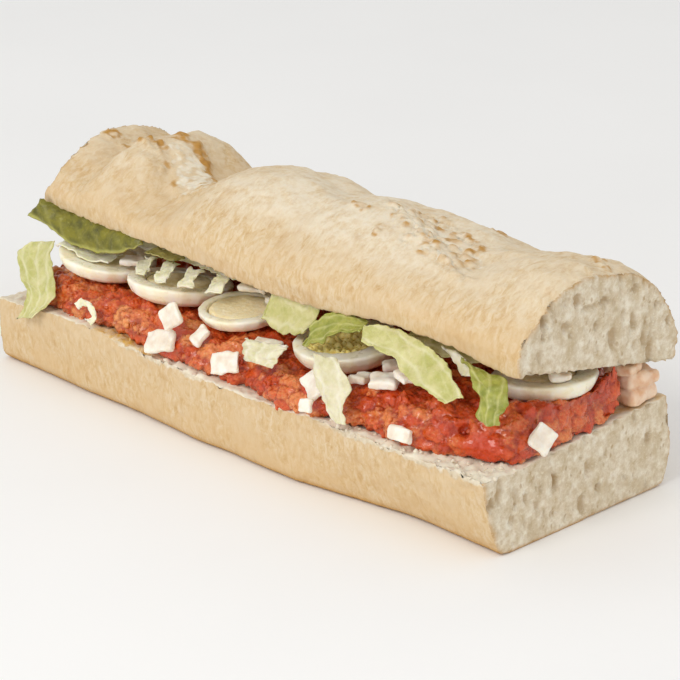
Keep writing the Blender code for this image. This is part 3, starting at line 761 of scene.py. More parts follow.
@dataclass(frozen=True)
class Scar:
    """A place on the crust where it tore open: an ellipse on the dome, turned by degrees."""

    x: float
    y: float
    long: float
    wide: float
    turn: float

    def inside(self, points: np.ndarray) -> tuple[np.ndarray, np.ndarray]:
        """Where points lie on it.

        Args:
            points: N x 3 places.

        Returns:
            How far out each is, 0 in the middle and 1 on the edge, and how far across it is, from -1 to 1.
        """
        c, s = math.cos(math.radians(self.turn)), math.sin(math.radians(self.turn))
        dx, dy = points[:, 0] - self.x, points[:, 1] - self.y
        a, b = (dx * c + dy * s) / self.long, (-dx * s + dy * c) / self.wide
        return np.hypot(a, b), b


@dataclass(frozen=True)
class Pore:
    """A hole in a cut end face, at y and z on it."""

    y: float
    z: float
    wide: float
    high: float
    depth: float


@dataclass
class Baguette:
    """The two halves of the loaf.

    Attributes:
        material: The bread's finish.
        slash: The open slash at the left, whose valley is a little shallower than in the solid.
        peak: The crest beside it, which is a little lower.
        blistered: The field of blisters on the crest at the right.
        ears: Flakes of crust that stand up where it tore.
        lid_pores: The larger pores in the upper half's right end.
        lower_pores: The larger pores in the lower half's right end.
        shaggy: Places along x, and how torn the lower half's front lip is at each.
        lid_floor: Places along x, and the height of the upper half's cut face at each, at the front.
    """

    material: bpy.types.Material
    slash: Scar = Scar(-64.0, 1.5, 17.0, 7.0, -28.0)
    peak: Scar = Scar(-88.0, -1.0, 15.0, 9.0, -10.0)
    blistered: Scar = Scar(48.0, 4.0, 34.0, 11.0, -25.0)
    ears: tuple[Scar, ...] = (
        Scar(-106.5, 3.0, 4.0, 4.5, 0.0), Scar(-96.0, 2.0, 6.5, 2.6, -10.0),
        Scar(-86.0, -1.5, 6.0, 2.8, -15.0), Scar(-80.0, 1.0, 4.0, 2.6, 0.0),
        Scar(-81.0, 13.0, 5.0, 3.2, -10.0), Scar(-74.0, 14.6, 5.0, 2.4, -30.0),
        Scar(-68.5, 12.8, 5.0, 2.2, -50.0), Scar(-62.0, 8.0, 5.0, 1.6, -45.0),
        Scar(56.0, 24.6, 4.5, 3.0, -20.0), Scar(104.0, 18.0, 9.0, 3.2, -30.0),
        Scar(18.0, 0.6, 8.0, 2.6, -15.0), Scar(60.0, 9.0, 12.0, 1.8, -22.0),
        Scar(34.0, -8.0, 4.5, 1.6, -60.0))
    lid_pores: tuple[Pore, ...] = (
        Pore(-15.0, 70.6, 1.9, 2.6, 3.2), Pore(-15.0, 66.0, 1.0, 1.6, 1.4), Pore(-5.1, 66.6, 2.2, 2.0, 1.4),
        Pore(11.7, 70.4, 2.6, 1.5, 2.0), Pore(25.6, 70.8, 2.0, 1.2, 1.4), Pore(16.7, 57.0, 2.4, 4.2, 1.5),
        Pore(8.7, 63.5, 1.4, 1.8, 1.3), Pore(4.3, 70.1, 3.2, 1.1, 1.2), Pore(36.3, 62.7, 1.2, 1.7, 1.4),
        Pore(41.6, 56.0, 1.0, 2.2, 1.2))
    lower_pores: tuple[Pore, ...] = (
        Pore(-8.2, 17.4, 1.5, 3.2, 2.4), Pore(-20.8, 15.8, 1.2, 2.2, 1.4), Pore(11.7, 9.2, 1.5, 1.5, 2.0),
        Pore(24.3, 8.6, 1.0, 1.0, 1.2), Pore(34.5, 18.5, 1.6, 2.2, 1.6), Pore(-14.2, 16.8, 1.2, 1.9, 1.0),
        Pore(-8.5, 6.4, 2.0, 1.4, 1.0))
    shaggy: tuple[tuple[float, ...], ...] = (
        (-58, -50, -14, -6, 40, 52, 90, 112), (0.0, 0.8, 0.9, 0.25, 0.25, 1.0, 1.0, 1.0))
    lid_floor: tuple[tuple[float, ...], ...] = (
        (-110, -62, -35, -11, 12, 32, 54, 80, 96, 112),
        (55.4, 55.1, 55.1, 53.9, 54.1, 55.4, 58.4, 59.0, 57.4, 56.3))

    SEED = 41
    SMALL_PORES = 230  # in each end face, besides the larger ones
    OUTWARD = 0.55  # how much of an end face's normals lies along x, at the least
    RIGHT_DEPTH = 3.4  # how far inside the box the right end face may lie
    LEFT_DEPTH = 14.0  # the same for the left end face
    LOWER_CUT = 17.0  # the lower half's cut face lies above this height
    LID_CUT = 62.0  # the upper half's cut face lies below this height
    LID_EDGE = -25.9  # the y of the upper half's front edge
    LID_FALL = 15.0 / 71.4  # how much the upper half's cut face falls towards the back

    def __post_init__(self) -> None:
        """Starts the random draws for the small pores."""
        self.random = np.random.default_rng(self.SEED)

    def pores(self, points: np.ndarray, face: np.ndarray, out: float, known: tuple[Pore, ...]) -> np.ndarray:
        """Opens pores in an end face, the known ones and many small ones.

        Args:
            points: The mesh's points, which are moved.
            face: Which points are on the face.
            out: The way the face looks along x, +1 or -1.
            known: Pores at set places.

        Returns:
            How dark each point is painted, from 0 to 1: painted shade inside the holes, darker in deeper
            ones.
        """
        low, high = points[face].min(axis=0), points[face].max(axis=0)
        holes = list(known)
        for _ in range(self.SMALL_PORES):
            y, z = self.random.uniform(low[1], high[1]), self.random.uniform(low[2], high[2])
            wide = 0.3 + 1.8 * self.random.random() ** 7
            tall = wide * self.random.uniform(1.0, 2.4)
            holes.append(Pore(y, z, wide, tall, wide * self.random.uniform(0.4, 1.0)))
        deep, shown = np.zeros(len(points)), np.zeros(len(points))
        where = np.flatnonzero(face)
        spots = points[where] + 0.35 * np.stack([swell(points[where], 1.6, k) for k in (61, 62, 63)], axis=1)
        for hole in holes:
            off = np.hypot((spots[:, 1] - hole.y) / hole.wide, (spots[:, 2] - hole.z) / hole.high)
            bowl = np.sqrt(np.clip(1 - off * off, 0, 1))
            deep[where] = np.maximum(deep[where], bowl * hole.depth)
            # Painted shade: a deeper hole is painted darker.
            dark = min(1.0, 0.2 + 0.35 * hole.depth)
            shown[where] = np.maximum(shown[where], step(1.15, 0.5, off) * dark)
        points[:, 0] -= out * deep
        return shown

    def away(self, points: np.ndarray, some: np.ndarray, others: np.ndarray) -> np.ndarray:
        """Distances to the nearest of some other points.

        Args:
            points: The mesh's points.
            some: Which points to measure from.
            others: Which points to measure to.

        Returns:
            The distance for each point, and 0 for those that aren't measured.
        """
        near = np.flatnonzero(others)
        tree = KDTree(len(near))
        for index in near:
            tree.insert(points[index], int(index))
        tree.balance()
        found = np.zeros(len(points))
        for index in np.flatnonzero(some):
            found[index] = tree.find(points[index])[2]
        return found

    def rim(self, points: np.ndarray, face: np.ndarray, crust: np.ndarray) -> np.ndarray:
        """The browned rim of the end faces.

        Args:
            points: The mesh's points.
            face: Which points are on an end face.
            crust: Which points are on the crust round it.

        Returns:
            How near each point of the faces is to the crust, from 0 to 1.
        """
        width = 1.0 + 0.5 * swell(points, 5.0, 71)
        return np.where(face, np.exp(-np.square(self.away(points, face, crust) / width)) * 0.75, 0.0)

    def crusted(self, points: np.ndarray, normals: np.ndarray, crust: np.ndarray) -> None:
        """Gives the crust its fine wrinkles, which run round the loaf, and its low lumps.

        Args:
            points: The mesh's points, which are moved.
            normals: Their normals.
            crust: How much of the relief each point takes.
        """
        bent = points.copy()
        bent[:, 0] += 0.45 * points[:, 1] + 1.6 * swell(points, 14.0, 20)
        calm = 0.55 + 0.6 * swell(points, 13.0, 21)
        height = 0.20 * swell(bent, (2.3, 5.0, 5.0), 22) + 0.15 * swell(bent, (1.3, 2.4, 2.4), 23)
        height = height * np.clip(calm, 0.15, 1.2)
        height = height + 0.34 * swell(points, 8.0, 24) + 0.14 * swell(points, 3.2, 25)
        scratch = step(0.55, 0.9, swell(bent, (1.5, 8.0, 8.0), 26)) * step(0.0, 0.5, swell(points, 20.0, 27))
        points += normals * ((height - 0.45 * scratch - 0.25) * crust)[:, None]

    def ends(self, points: np.ndarray, normals: np.ndarray, node: str) -> tuple[np.ndarray, np.ndarray]:
        """Finds the end faces of one half.

        Args:
            points: The mesh's points.
            normals: Their normals.
            node: The solid under it.

        Returns:
            Which points lie on the right and on the left end face.
        """
        box = np.array(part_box(node)) / MM
        right = (points[:, 0] > box[1, 0] - self.RIGHT_DEPTH) & (normals[:, 0] > self.OUTWARD)
        left = (points[:, 0] < box[0, 0] + self.LEFT_DEPTH) & (normals[:, 0] < -self.OUTWARD)
        return right, left

    def opened(self, points: np.ndarray, right: np.ndarray, left: np.ndarray,
               known: tuple[Pore, ...]) -> np.ndarray:
        """Roughens both end faces and opens their pores.

        Args:
            points: The mesh's points, which are moved.
            right: Which points are on the right face.
            left: Which points are on the left face.
            known: The larger pores of the right face.

        Returns:
            How dark each point is painted, from 0 to 1: painted shade inside the holes, darker in deeper
            ones.
        """
        points[:, 0] += np.sign(points[:, 0]) * (right | left) * (0.28 * swell(points, 1.5, 34) - 0.25)
        return self.pores(points, right, 1.0, known) + self.pores(points, left, -1.0, ())

    def lower(self) -> bpy.types.Object:
        """The lower half: flat base, split front and the cut face under the filling."""
        skin = Skin("lower_bread", ("bread_lower",), "bread", 0.85, 4)
        obj = skin.make()
        points, normals = read(obj)
        right, left = self.ends(points, normals, "bread_lower")
        cut = step(0.45, 0.75, normals[:, 2]) * (points[:, 2] > self.LOWER_CUT)
        crumb = np.clip(cut + right + left, 0, 1)
        crust = 1 - crumb
        rim = self.rim(points, right | left, (crust > 0.9) & (np.abs(points[:, 0]) > 106))
        self.crusted(points, normals, crust * step(0.6, 2.5, points[:, 2]))
        front = step(-30, -38, points[:, 1]) * step(17, 22, points[:, 2])
        shaggy = np.interp(points[:, 0], *self.shaggy) * step(-28, -36, points[:, 1])
        torn = cut * np.maximum(shaggy, step(62, 80, points[:, 0]) * step(-14, -26, points[:, 1]))
        torn = torn * step(-0.7, 0.1, swell(points, 4.0, 30))
        below = (crust > 0.9) & (points[:, 1] < -28) & (points[:, 2] > 14)
        drop = self.away(points, below, cut > 0.5) + 1.3 * swell(points, 2.8, 38)
        spill = below * shaggy * step(3.6, 0.6, drop + 0.7 * swell(points, 1.2, 39))
        rough = 0.6 * swell(points, 2.6, 31) + 0.45 * swell(points, 1.3, 32)
        points[:, 2] += (rough - 0.25) * cut * (0.45 + 1.5 * torn + 0.3 * front)
        points[:, 1] += front * (0.6 * swell(points, 3.0, 33) - 0.5 * torn * swell(points, 1.7, 36))
        points += normals * (spill * (0.7 * swell(points, 1.5, 29) - 0.1))[:, None]
        pore = self.opened(points, right, left, self.lower_pores)
        near, _, _ = grains(points, 4.5, 35)
        pit = step(0.32, 0.1, near) * cut
        points[:, 2] -= 0.9 * pit
        write(obj, points, skin.nodes)
        mark(obj, "crumb", np.maximum(crumb, spill))
        mark(obj, "rim", rim)
        # Painted shade in the end faces' holes and the cut face's pits.
        mark(obj, "pore", np.clip(pore + 0.6 * pit, 0, 1))
        mark(obj, "torn", np.clip(torn + 0.6 * cut + 0.5 * spill, 0, 1))
        mark(obj, "shaggy", np.clip(torn + 0.5 * spill, 0, 1))
        # Painted shade: the left end is painted darker in patches with the toast colour, for the light that
        # falls off there.
        left_end_shade = step(-100, -113, points[:, 0]) * step(-0.6, 0.6, swell(points, 5.0, 37))
        foot = 0.55 * step(3.4, 0.4, points[:, 2]) + 0.16 * step(9, 2, points[:, 2])
        mark(obj, "toast", foot + 0.3 * left_end_shade)
        mark(obj, "gold", 0.5 + 0.2 * step(18, 6, points[:, 2]))
        wet = step(-34, -39, points[:, 1]) * step(-72, -58, points[:, 0]) * step(-26, -40, points[:, 0]) * cut
        sauce = cut * (right < 0.5) * step(100, 108, points[:, 0]) * step(16, 24, points[:, 1])
        mark(obj, "stain", np.clip(wet + 0.8 * sauce * step(-0.4, 0.3, swell(points, 4.0, 37)), 0, 1))
        return skin.finish(obj, self.material)

    def crumbs(self, lower: bpy.types.Object) -> bpy.types.Object:
        """Torn crumbs along the lip of the lower half.

        Args:
            lower: The lower half, which carries them.

        Returns:
            One piece with all of them.
        """
        grit = Scatter("bread_crumbs", 60000.0, 0.35, 0.95, 15, 0.35, "shaggy")
        obj = grit.over(lower, self.material)
        points, _ = read(obj)
        write(obj, points, ("bread_lower",))
        for name in ("crumb", "torn"):
            mark(obj, name, np.ones(len(points)))
        for name in ("pore", "rim", "toast", "gold", "stain"):
            mark(obj, name, np.zeros(len(points)))
        return settle_in(obj, "bread")

    def shag(self, points: np.ndarray) -> np.ndarray:
        """The rough relief of torn crust."""
        return 0.55 * swell(points, 3.2, 42) + 0.45 * swell(points, 1.5, 43)

    def open_slash(self, points: np.ndarray, normals: np.ndarray,
                   dome: np.ndarray) -> tuple[np.ndarray, np.ndarray]:
        """Tears the slash at the left open and curls its lips.

        Args:
            points: The mesh's points, which are moved.
            normals: Their normals.
            dome: How much each point belongs to the crust of the top.

        Returns:
            How toasted and how torn each point is.
        """
        off, across = self.slash.inside(points)
        points[:, 2] += 2.2 * dome * step(1.5, 0.1, off)
        points[:, 2] -= 1.5 * dome * step(1.1, 0.2, self.peak.inside(points)[0])
        off = off + 0.28 * swell(points, 5.0, 41) + 0.12 * swell(points, 2.0, 40)
        hole = dome * step(1.05, 0.9, off)
        points += normals * (hole * (self.shag(points) * 0.8 + 0.6))[:, None]
        torn = hole * step(-0.9, 0.1, swell(points, 3.0, 39)) * (0.75 + 0.3 * swell(points, 1.4, 40))
        flap = dome * step(0.85, 1.05, off) * step(1.5, 1.15, off)
        points += normals * (flap * (0.25 + 0.9 * step(0.0, 0.7, swell(points, 3.6, 44))))[:, None]
        toast = flap * (0.18 + 0.5 * step(0.1, 0.7, swell(points, 4.0, 38)) + 0.25 * step(0.0, 0.8, across))
        return toast, torn

    def blister(self, points: np.ndarray, normals: np.ndarray,
                dome: np.ndarray) -> tuple[np.ndarray, np.ndarray]:
        """Raises the field of blisters on the crest at the right, with splits between them.

        Args:
            points: The mesh's points, which are moved.
            normals: Their normals.
            dome: How much each point belongs to the crust of the top.

        Returns:
            How toasted and how torn each point is.
        """
        off, _ = self.blistered.inside(points)
        field = dome * step(1.15, 0.75, off + 0.25 * swell(points, 6.0, 45))
        bent = points + 0.8 * np.stack([swell(points, 3.2, k) for k in (64, 65, 66)], axis=1)
        near, gap, which = grains(bent, (4.6, 2.8, 3.4), 46)
        bubble = step(0.7, 0.1, near) * step(0.1, 0.4, which)
        split = step(0.2, 0.02, gap) * (which < 0.6)
        height = 1.1 * bubble - 0.7 * split + 0.45 * self.shag(points) - 0.35
        points += normals * (field * height)[:, None]
        toast = field * (0.5 * bubble + 0.4 * step(0.0, 0.6, swell(points, 3.4, 47)))
        bare = np.clip(0.8 * split + 0.7 * step(0.0, 0.5, swell(points, 4.0, 48)), 0, 1)
        return toast, field * bare * (1 - 0.6 * bubble)

    def flake(self, points: np.ndarray, normals: np.ndarray, dome: np.ndarray) -> np.ndarray:
        """Raises the flakes of crust along the tears.

        Args:
            points: The mesh's points, which are moved.
            normals: Their normals.
            dome: How much each point belongs to the crust of the top.

        Returns:
            How toasted each point is.
        """
        toast = np.zeros(len(points))
        for number, ear in enumerate(self.ears):
            off, _ = ear.inside(points)
            share = dome * step(1.15, 0.55, off + 0.3 * swell(points, 3.0, 50 + number))
            points += normals * (share * (0.55 + 0.9 * swell(points, 1.9, 57)))[:, None]
            toast += share * np.clip(0.4 + 0.7 * swell(points, 2.2, 58), 0, 1)
        return toast

    def ragged(self, points: np.ndarray, right: np.ndarray, cut: np.ndarray) -> None:
        """Tears the lid's front edge and the foot of its right end, and roughens its cut face.

        Args:
            points: The mesh's points, which are moved.
            right: Which points are on the right end face.
            cut: How much each point belongs to the cut face.
        """
        edge = step(3.5, 0.4, points[:, 2] - self.underside(points)) * step(-22, -25, points[:, 1])
        points[:, 2] += edge * (0.5 * swell(points, 2.4, 59) + 0.35 * swell(points, 1.2, 60) - 1.1)
        hem = step(2.6, 0.4, points[:, 2] - self.underside(points)) * right
        points[:, 2] += hem * (0.9 * swell(points, 2.6, 67) + 0.3)
        points[:, 2] -= cut * (0.4 * swell(points, 2.4, 61) - 0.2)

    def upper(self) -> bpy.types.Object:
        """The upper half: the slashed dome and the cut face over the filling."""
        skin = Skin("upper_bread", ("bread_upper",), "bread", 0.8, 5)
        obj = skin.make()
        points, normals = read(obj)
        right, left = self.ends(points, normals, "bread_upper")
        cut = step(-0.35, -0.7, normals[:, 2]) * step(-25.2, -24.0, points[:, 1])
        cut = cut * (points[:, 2] < self.LID_CUT)
        crumb = np.clip(cut + right + left, 0, 1)
        crust = 1 - crumb
        rim = self.rim(points, right | left, (crust > 0.9) & (np.abs(points[:, 0]) > 100))
        dome = crust * step(0.0, 0.5, normals[:, 2]) * step(58, 66, points[:, 2])
        self.crusted(points, normals, crust)
        toast, torn = self.open_slash(points, normals, dome)
        blister_toast, blister_torn = self.blister(points, normals, dome)
        toast = toast + blister_toast + self.flake(points, normals, dome)
        torn = np.clip(torn + blister_torn, 0, 1)
        self.ragged(points, right, cut)
        pore = self.opened(points, right, left, self.lid_pores)
        write(obj, points, skin.nodes)
        mark(obj, "crumb", np.clip(crumb + 0.8 * torn, 0, 1))
        mark(obj, "rim", rim)
        # Painted shade in the end faces' holes.
        mark(obj, "pore", np.clip(pore, 0, 1))
        mark(obj, "torn", torn)
        mark(obj, "toast", toast)
        low = step(78, 60, points[:, 2])
        mark(obj, "gold", low * (0.45 + 0.35 * step(20, 115, points[:, 0])))
        middle = step(-60, 0, points[:, 0]) * step(95, 45, points[:, 0])
        mark(obj, "floury", dome * step(68, 77, points[:, 2]) * (0.3 + 0.6 * middle))
        mark(obj, "stain", np.zeros(len(points)))
        return skin.finish(obj, self.material)

    def underside(self, points: np.ndarray) -> np.ndarray:
        """Height of the upper half's cut face at each point."""
        return np.interp(points[:, 0], *self.lid_floor) - self.LID_FALL * (points[:, 1] - self.LID_EDGE)

    def build(self) -> None:
        """Both halves and the crumbs."""
        self.crumbs(self.lower())
        self.upper()


@dataclass
class MinceBed:
    """The seasoned mince, one bed through the whole sandwich, with loose grains on it.

    Attributes:
        material: The mince's finish.
        pools: Where the sauce lies smooth over the grains.
        holes: Hollows between the lumps, dented and painted dark as shade, each an x, y, z and size.
        clump_size: How wide the clumps are on each axis.
        grain_size: How wide the grains are on each axis.
    """

    material: bpy.types.Material
    pools: tuple[Scar, ...] = (Scar(103.0, -33.0, 9.0, 7.0, 25.0), Scar(-30.0, -40.0, 7.0, 6.0, 0.0))
    holes: tuple[tuple[float, ...], ...] = (
        (-101.0, -30.0, 33.0, 3.4), (94.0, -31.0, 36.0, 2.6), (107.5, -10.0, 33.0, 2.2))
    clump_size: Spot = (6.4, 5.6, 4.8)
    grain_size: Spot = (1.9, 1.9, 1.8)

    POOL_TOP = 38.0  # no sauce lies smooth above this height
    FOOT = 27.0  # the height of the bed's foot at the front
    HOLE_SHAPE = (1.0, 2.2, 0.9)  # how long a hollow is on each axis, for its size
    TOP_FACING = 0.93  # loose grains lie only where the normals point up less than this

    def bed(self) -> bpy.types.Object:
        """The bed itself, grained all over its sides."""
        skin = Skin("mince_bed", ("mince",), "mince", 0.78, 3)
        obj = skin.make()
        points, normals = read(obj)
        bent = points + 0.9 * np.stack([swell(points, 3.0, k) for k in (81, 82, 83)], axis=1)
        near, gap, which = grains(bent, self.clump_size, 84)
        fine, fine_gap, _ = grains(bent, self.grain_size, 85)
        smooth = np.zeros(len(points))
        for pool in self.pools:
            off, _ = pool.inside(points)
            smooth = np.maximum(smooth, step(1.15, 0.65, off) * step(self.POOL_TOP, 33.5, points[:, 2]))
        calm = step(60, 85, points[:, 0])
        broad = swell(points, 4.2, 88)
        lumps = 1.5 * step(0.95, 0.1, near) + (1.1 - 0.4 * calm) * step(0.8, 0.05, fine) + 0.7 * broad
        # Painted shade: the crevices between clumps and grains, and the low places, are painted darker.
        crevice = 0.6 * step(0.26, 0.02, gap) + 0.25 * step(0.2, 0.01, fine_gap)
        crevice += 0.4 * step(-0.2, -0.8, broad)
        height = (lumps - 1.4) * (1 - 0.8 * smooth) - 0.3 * crevice * (1 - smooth)
        height += 0.5 * swell(points, 7.0, 86)
        height += 1.1 * step(3.0, 0.5, points[:, 2] - self.FOOT) * step(-24, -30, points[:, 1])
        beside_egg = step(97, 105, points[:, 0]) * step(-24, -14, points[:, 1])
        points[:, 2] += 2.6 * step(0.1, 0.7, normals[:, 2]) * beside_egg
        for x, y, z, size in self.holes:
            reach = np.linalg.norm((points - np.array((x, y, z))) / np.array(self.HOLE_SHAPE), axis=1)
            dip = step(size, size * 0.3, reach)
            height -= 2.4 * dip
            # The hollows are painted as dark as the crevices: painted shade.
            crevice = np.maximum(crevice, dip)
        points += normals * height[:, None]
        write(obj, points, skin.nodes)
        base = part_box("mince")[0][2] / MM
        mark(obj, "grain", np.clip(0.75 * which * (1 - smooth) + 0.3 * step(60, -90, points[:, 0]), 0, 1))
        mark(obj, "crevice", np.clip(crevice * (1 - smooth), 0, 1))
        mark(obj, "saucy", np.clip(smooth + 0.1 * step(30, 100, points[:, 0]), 0, 1))
        bare = (np.abs(normals[:, 2]) < self.TOP_FACING) * (points[:, 2] > base + 1.5) * (1 - smooth)
        mark(obj, "bare", bare * (1 - 0.7 * calm))
        return skin.finish(obj, self.material)

    def loose(self, bed: bpy.types.Object) -> bpy.types.Object:
        """Loose grains that lie on the bed's sides.

        Args:
            bed: The bed, which carries them.

        Returns:
            One piece with all of them.
        """
        grit = Scatter("mince_grains", 30000.0, 0.6, 1.2, 5, 0.4, "bare")
        obj = grit.over(bed, self.material)
        points, _ = read(obj)
        write(obj, points, ("mince",))
        tone = 0.45 + 0.5 * swell(points, 2.5, 87) + 0.15 * step(60, -90, points[:, 0])
        mark(obj, "grain", np.clip(tone, 0, 1))
        mark(obj, "crevice", np.zeros(len(points)))
        mark(obj, "saucy", 0.1 * step(30, 100, points[:, 0]))
        return settle_in(obj, "mince")

    def build(self) -> None:
        """The bed and the grains on it."""
        self.loose(self.bed())


@dataclass
class Scatter:
    """Small irregular bits strewn over a surface by Geometry Nodes.

    Attributes:
        name: The piece's name.
        density: How many lie on a square metre where the mask is 1.
        smallest: The least half-width of a bit on one axis.
        largest: The greatest half-width.
        seed: Which random draw to give.
        uneven: How uneven a bit is, for its size.
        mask: The value on the surface that says where they lie.
    """

    name: str
    density: float
    smallest: float
    largest: float
    seed: int
    uneven: float
    mask: str

    FULL_TURN = 6.283
    LUMP = 1.1  # how wide the lumps on a bit are

    def tree(self, material: bpy.types.Material) -> bpy.types.NodeTree:
        """The node tree, with named inputs for its sizes.

        Args:
            material: The bits' finish.

        Returns:
            The tree, which ends in real meshes with that finish.
        """
        tree = bpy.data.node_groups.new(self.name, "GeometryNodeTree")
        tree.interface.new_socket("Geometry", in_out="OUTPUT", socket_type="NodeSocketGeometry")
        tree.interface.new_socket("Surface", in_out="INPUT", socket_type="NodeSocketObject")
        for title in ("Density", "Smallest", "Largest", "Unevenness"):
            tree.interface.new_socket(title, in_out="INPUT", socket_type="NodeSocketFloat")
        make, join = tree.nodes.new, tree.links.new
        given, given_out = make("NodeGroupInput"), make("NodeGroupOutput")
        info = make("GeometryNodeObjectInfo")
        join(given.outputs["Surface"], info.inputs["Object"])
        chance = make("GeometryNodeInputNamedAttribute")
        chance.data_type = "FLOAT"
        chance.inputs["Name"].default_value = self.mask
        often = make("ShaderNodeMath")
        often.operation = "MULTIPLY"
        join(given.outputs["Density"], often.inputs[0])
        join(chance.outputs["Attribute"], often.inputs[1])
        spread = make("GeometryNodeDistributePointsOnFaces")
        spread.inputs["Seed"].default_value = self.seed
        join(info.outputs["Geometry"], spread.inputs["Mesh"])
        join(often.outputs["Value"], spread.inputs["Density"])
        bit = make("GeometryNodeMeshIcoSphere")
        bit.inputs["Radius"].default_value = 1.0
        bit.inputs["Subdivisions"].default_value = 2
        size = make("FunctionNodeRandomValue")
        size.data_type = "FLOAT_VECTOR"
        size.inputs["Seed"].default_value = self.seed + 1
        join(given.outputs["Smallest"], size.inputs[0])
        join(given.outputs["Largest"], size.inputs[1])
        turn = make("FunctionNodeRandomValue")
        turn.data_type = "FLOAT_VECTOR"
        turn.inputs["Seed"].default_value = self.seed + 2
        turn.inputs[1].default_value = (self.FULL_TURN, self.FULL_TURN, self.FULL_TURN)
        place = make("GeometryNodeInstanceOnPoints")
        join(spread.outputs["Points"], place.inputs["Points"])
        join(bit.outputs["Mesh"], place.inputs["Instance"])
        join(turn.outputs[0], place.inputs["Rotation"])
        join(size.outputs[0], place.inputs["Scale"])
        real = make("GeometryNodeRealizeInstances")
        join(place.outputs["Instances"], real.inputs["Geometry"])
        rough = make("ShaderNodeTexNoise")
        rough.inputs["Scale"].default_value = 1 / (self.LUMP * MM)
        rough.inputs["Detail"].default_value = 2.0
        middle = make("ShaderNodeVectorMath")
        middle.operation = "SUBTRACT"
        middle.inputs[1].default_value = (0.5, 0.5, 0.5)
        join(rough.outputs["Color"], middle.inputs[0])
        push = make("ShaderNodeVectorMath")
        push.operation = "SCALE"
        join(middle.outputs["Vector"], push.inputs[0])
        join(given.outputs["Unevenness"], push.inputs["Scale"])
        shift = make("GeometryNodeSetPosition")
        join(real.outputs["Geometry"], shift.inputs["Geometry"])
        join(push.outputs["Vector"], shift.inputs["Offset"])
        dress = make("GeometryNodeSetMaterial")
        dress.inputs["Material"].default_value = material
        join(shift.outputs["Geometry"], dress.inputs["Geometry"])
        join(dress.outputs["Geometry"], given_out.inputs["Geometry"])
        return tree

    def over(self, host: bpy.types.Object, material: bpy.types.Material) -> bpy.types.Object:
        """Strews the bits over a host.

        Args:
            host: The piece whose surface carries them.
            material: Their finish.

        Returns:
            One object with all of them as a plain mesh.
        """
        obj = bpy.data.objects.new(self.name, bpy.data.meshes.new(self.name))
        bpy.context.scene.collection.objects.link(obj)
        tree = self.tree(material)
        modifier = obj.modifiers.new("strewn", "NODES")
        modifier.node_group = tree
        values = {"Surface": host, "Density": self.density, "Smallest": self.smallest * MM,
                  "Largest": self.largest * MM, "Unevenness": self.uneven * self.largest * MM * 2}
        for item in tree.interface.items_tree:
            if item.in_out == "INPUT":
                modifier[item.identifier] = values[item.name]
        settled(obj)
        obj.data.shade_smooth()
        return obj


@dataclass
class Eggs:
    """The five slices of boiled egg.

    Attributes:
        white_finish: The finish of the whites.
        smooth_finish: The finish of the yolks that the knife left smooth.
        crumbled_finish: The finish of the crumbled yolk.
        count: How many slices there are.
        crumbled: Which of them has the crumbled yolk.
        voxel: How wide a cell of their skins is.
    """

    white_finish: bpy.types.Material
    smooth_finish: bpy.types.Material
    crumbled_finish: bpy.types.Material
    count: int = 5
    crumbled: int = 4
    voxel: float = 0.42

    def white(self, number: int) -> bpy.types.Object:
        """The white of one slice, a little uneven from the knife.

        Args:
            number: Which slice, from 1.

        Returns:
            The piece.
        """
        skin = Skin(f"egg_white_{number}", (f"egg_{number}_white",), "egg_white", self.voxel, 7)
        obj = skin.make()
        points, normals = read(obj)
        points += normals * (0.14 * swell(points, 6.0, 90 + number) + 0.05 * swell(points, 2.0, 95))[:, None]
        write(obj, points, skin.nodes)
        return skin.finish(obj, self.white_finish)

    def yolk(self, number: int) -> bpy.types.Object:
        """The yolk of one slice: smooth from the knife, or crumbled and sunk in its hollow.

        Args:
            number: Which slice, from 1.

        Returns:
            The piece.
        """
        skin = Skin(f"egg_yolk_{number}", (f"egg_{number}_yolk",), "egg_yolk", self.voxel, 4)
        obj = skin.make()
        points, normals = read(obj)
        top = step(0.4, 0.8, normals[:, 2])
        crumbled = number == self.crumbled
        near, gap, _ = grains(points, 2.2 if crumbled else 1.6, 100 + number)
        # Painted shade: the crevices between the grains are dented and painted a deeper gold.
        crevice = step(0.25, 0.02, gap) * top
        middle = points[top > 0.5].mean(axis=0)
        reach = np.hypot(points[:, 0] - middle[0], points[:, 1] - middle[1])
        if crumbled:
            sunk = 0.9 * step(12.0, 7.0, reach) + 0.2
            lift = 1.1 * step(0.75, 0.1, near) + 0.9 * swell(points, 4.0, 101) - sunk
        else:
            lift = 0.12 * step(0.6, 0.1, near) + 0.15 * swell(points, 4.0, 101) + 0.1
        points += normals * (top * (lift - (0.5 if crumbled else 0.06) * crevice))[:, None]
        write(obj, points, skin.nodes)
        mark(obj, "crevice", crevice * (0.6 if crumbled else 0.15))
        return skin.finish(obj, self.crumbled_finish if crumbled else self.smooth_finish)

    def build(self) -> None:
        """All the slices."""
        for number in range(1, self.count + 1):
            self.white(number)
            self.yolk(number)


class Veins(Enum):
    """How a leaf's ribs run."""

    ALONG = "along"
    FAN = "fan"
    EDGE = "edge"
    FAINT = "faint"


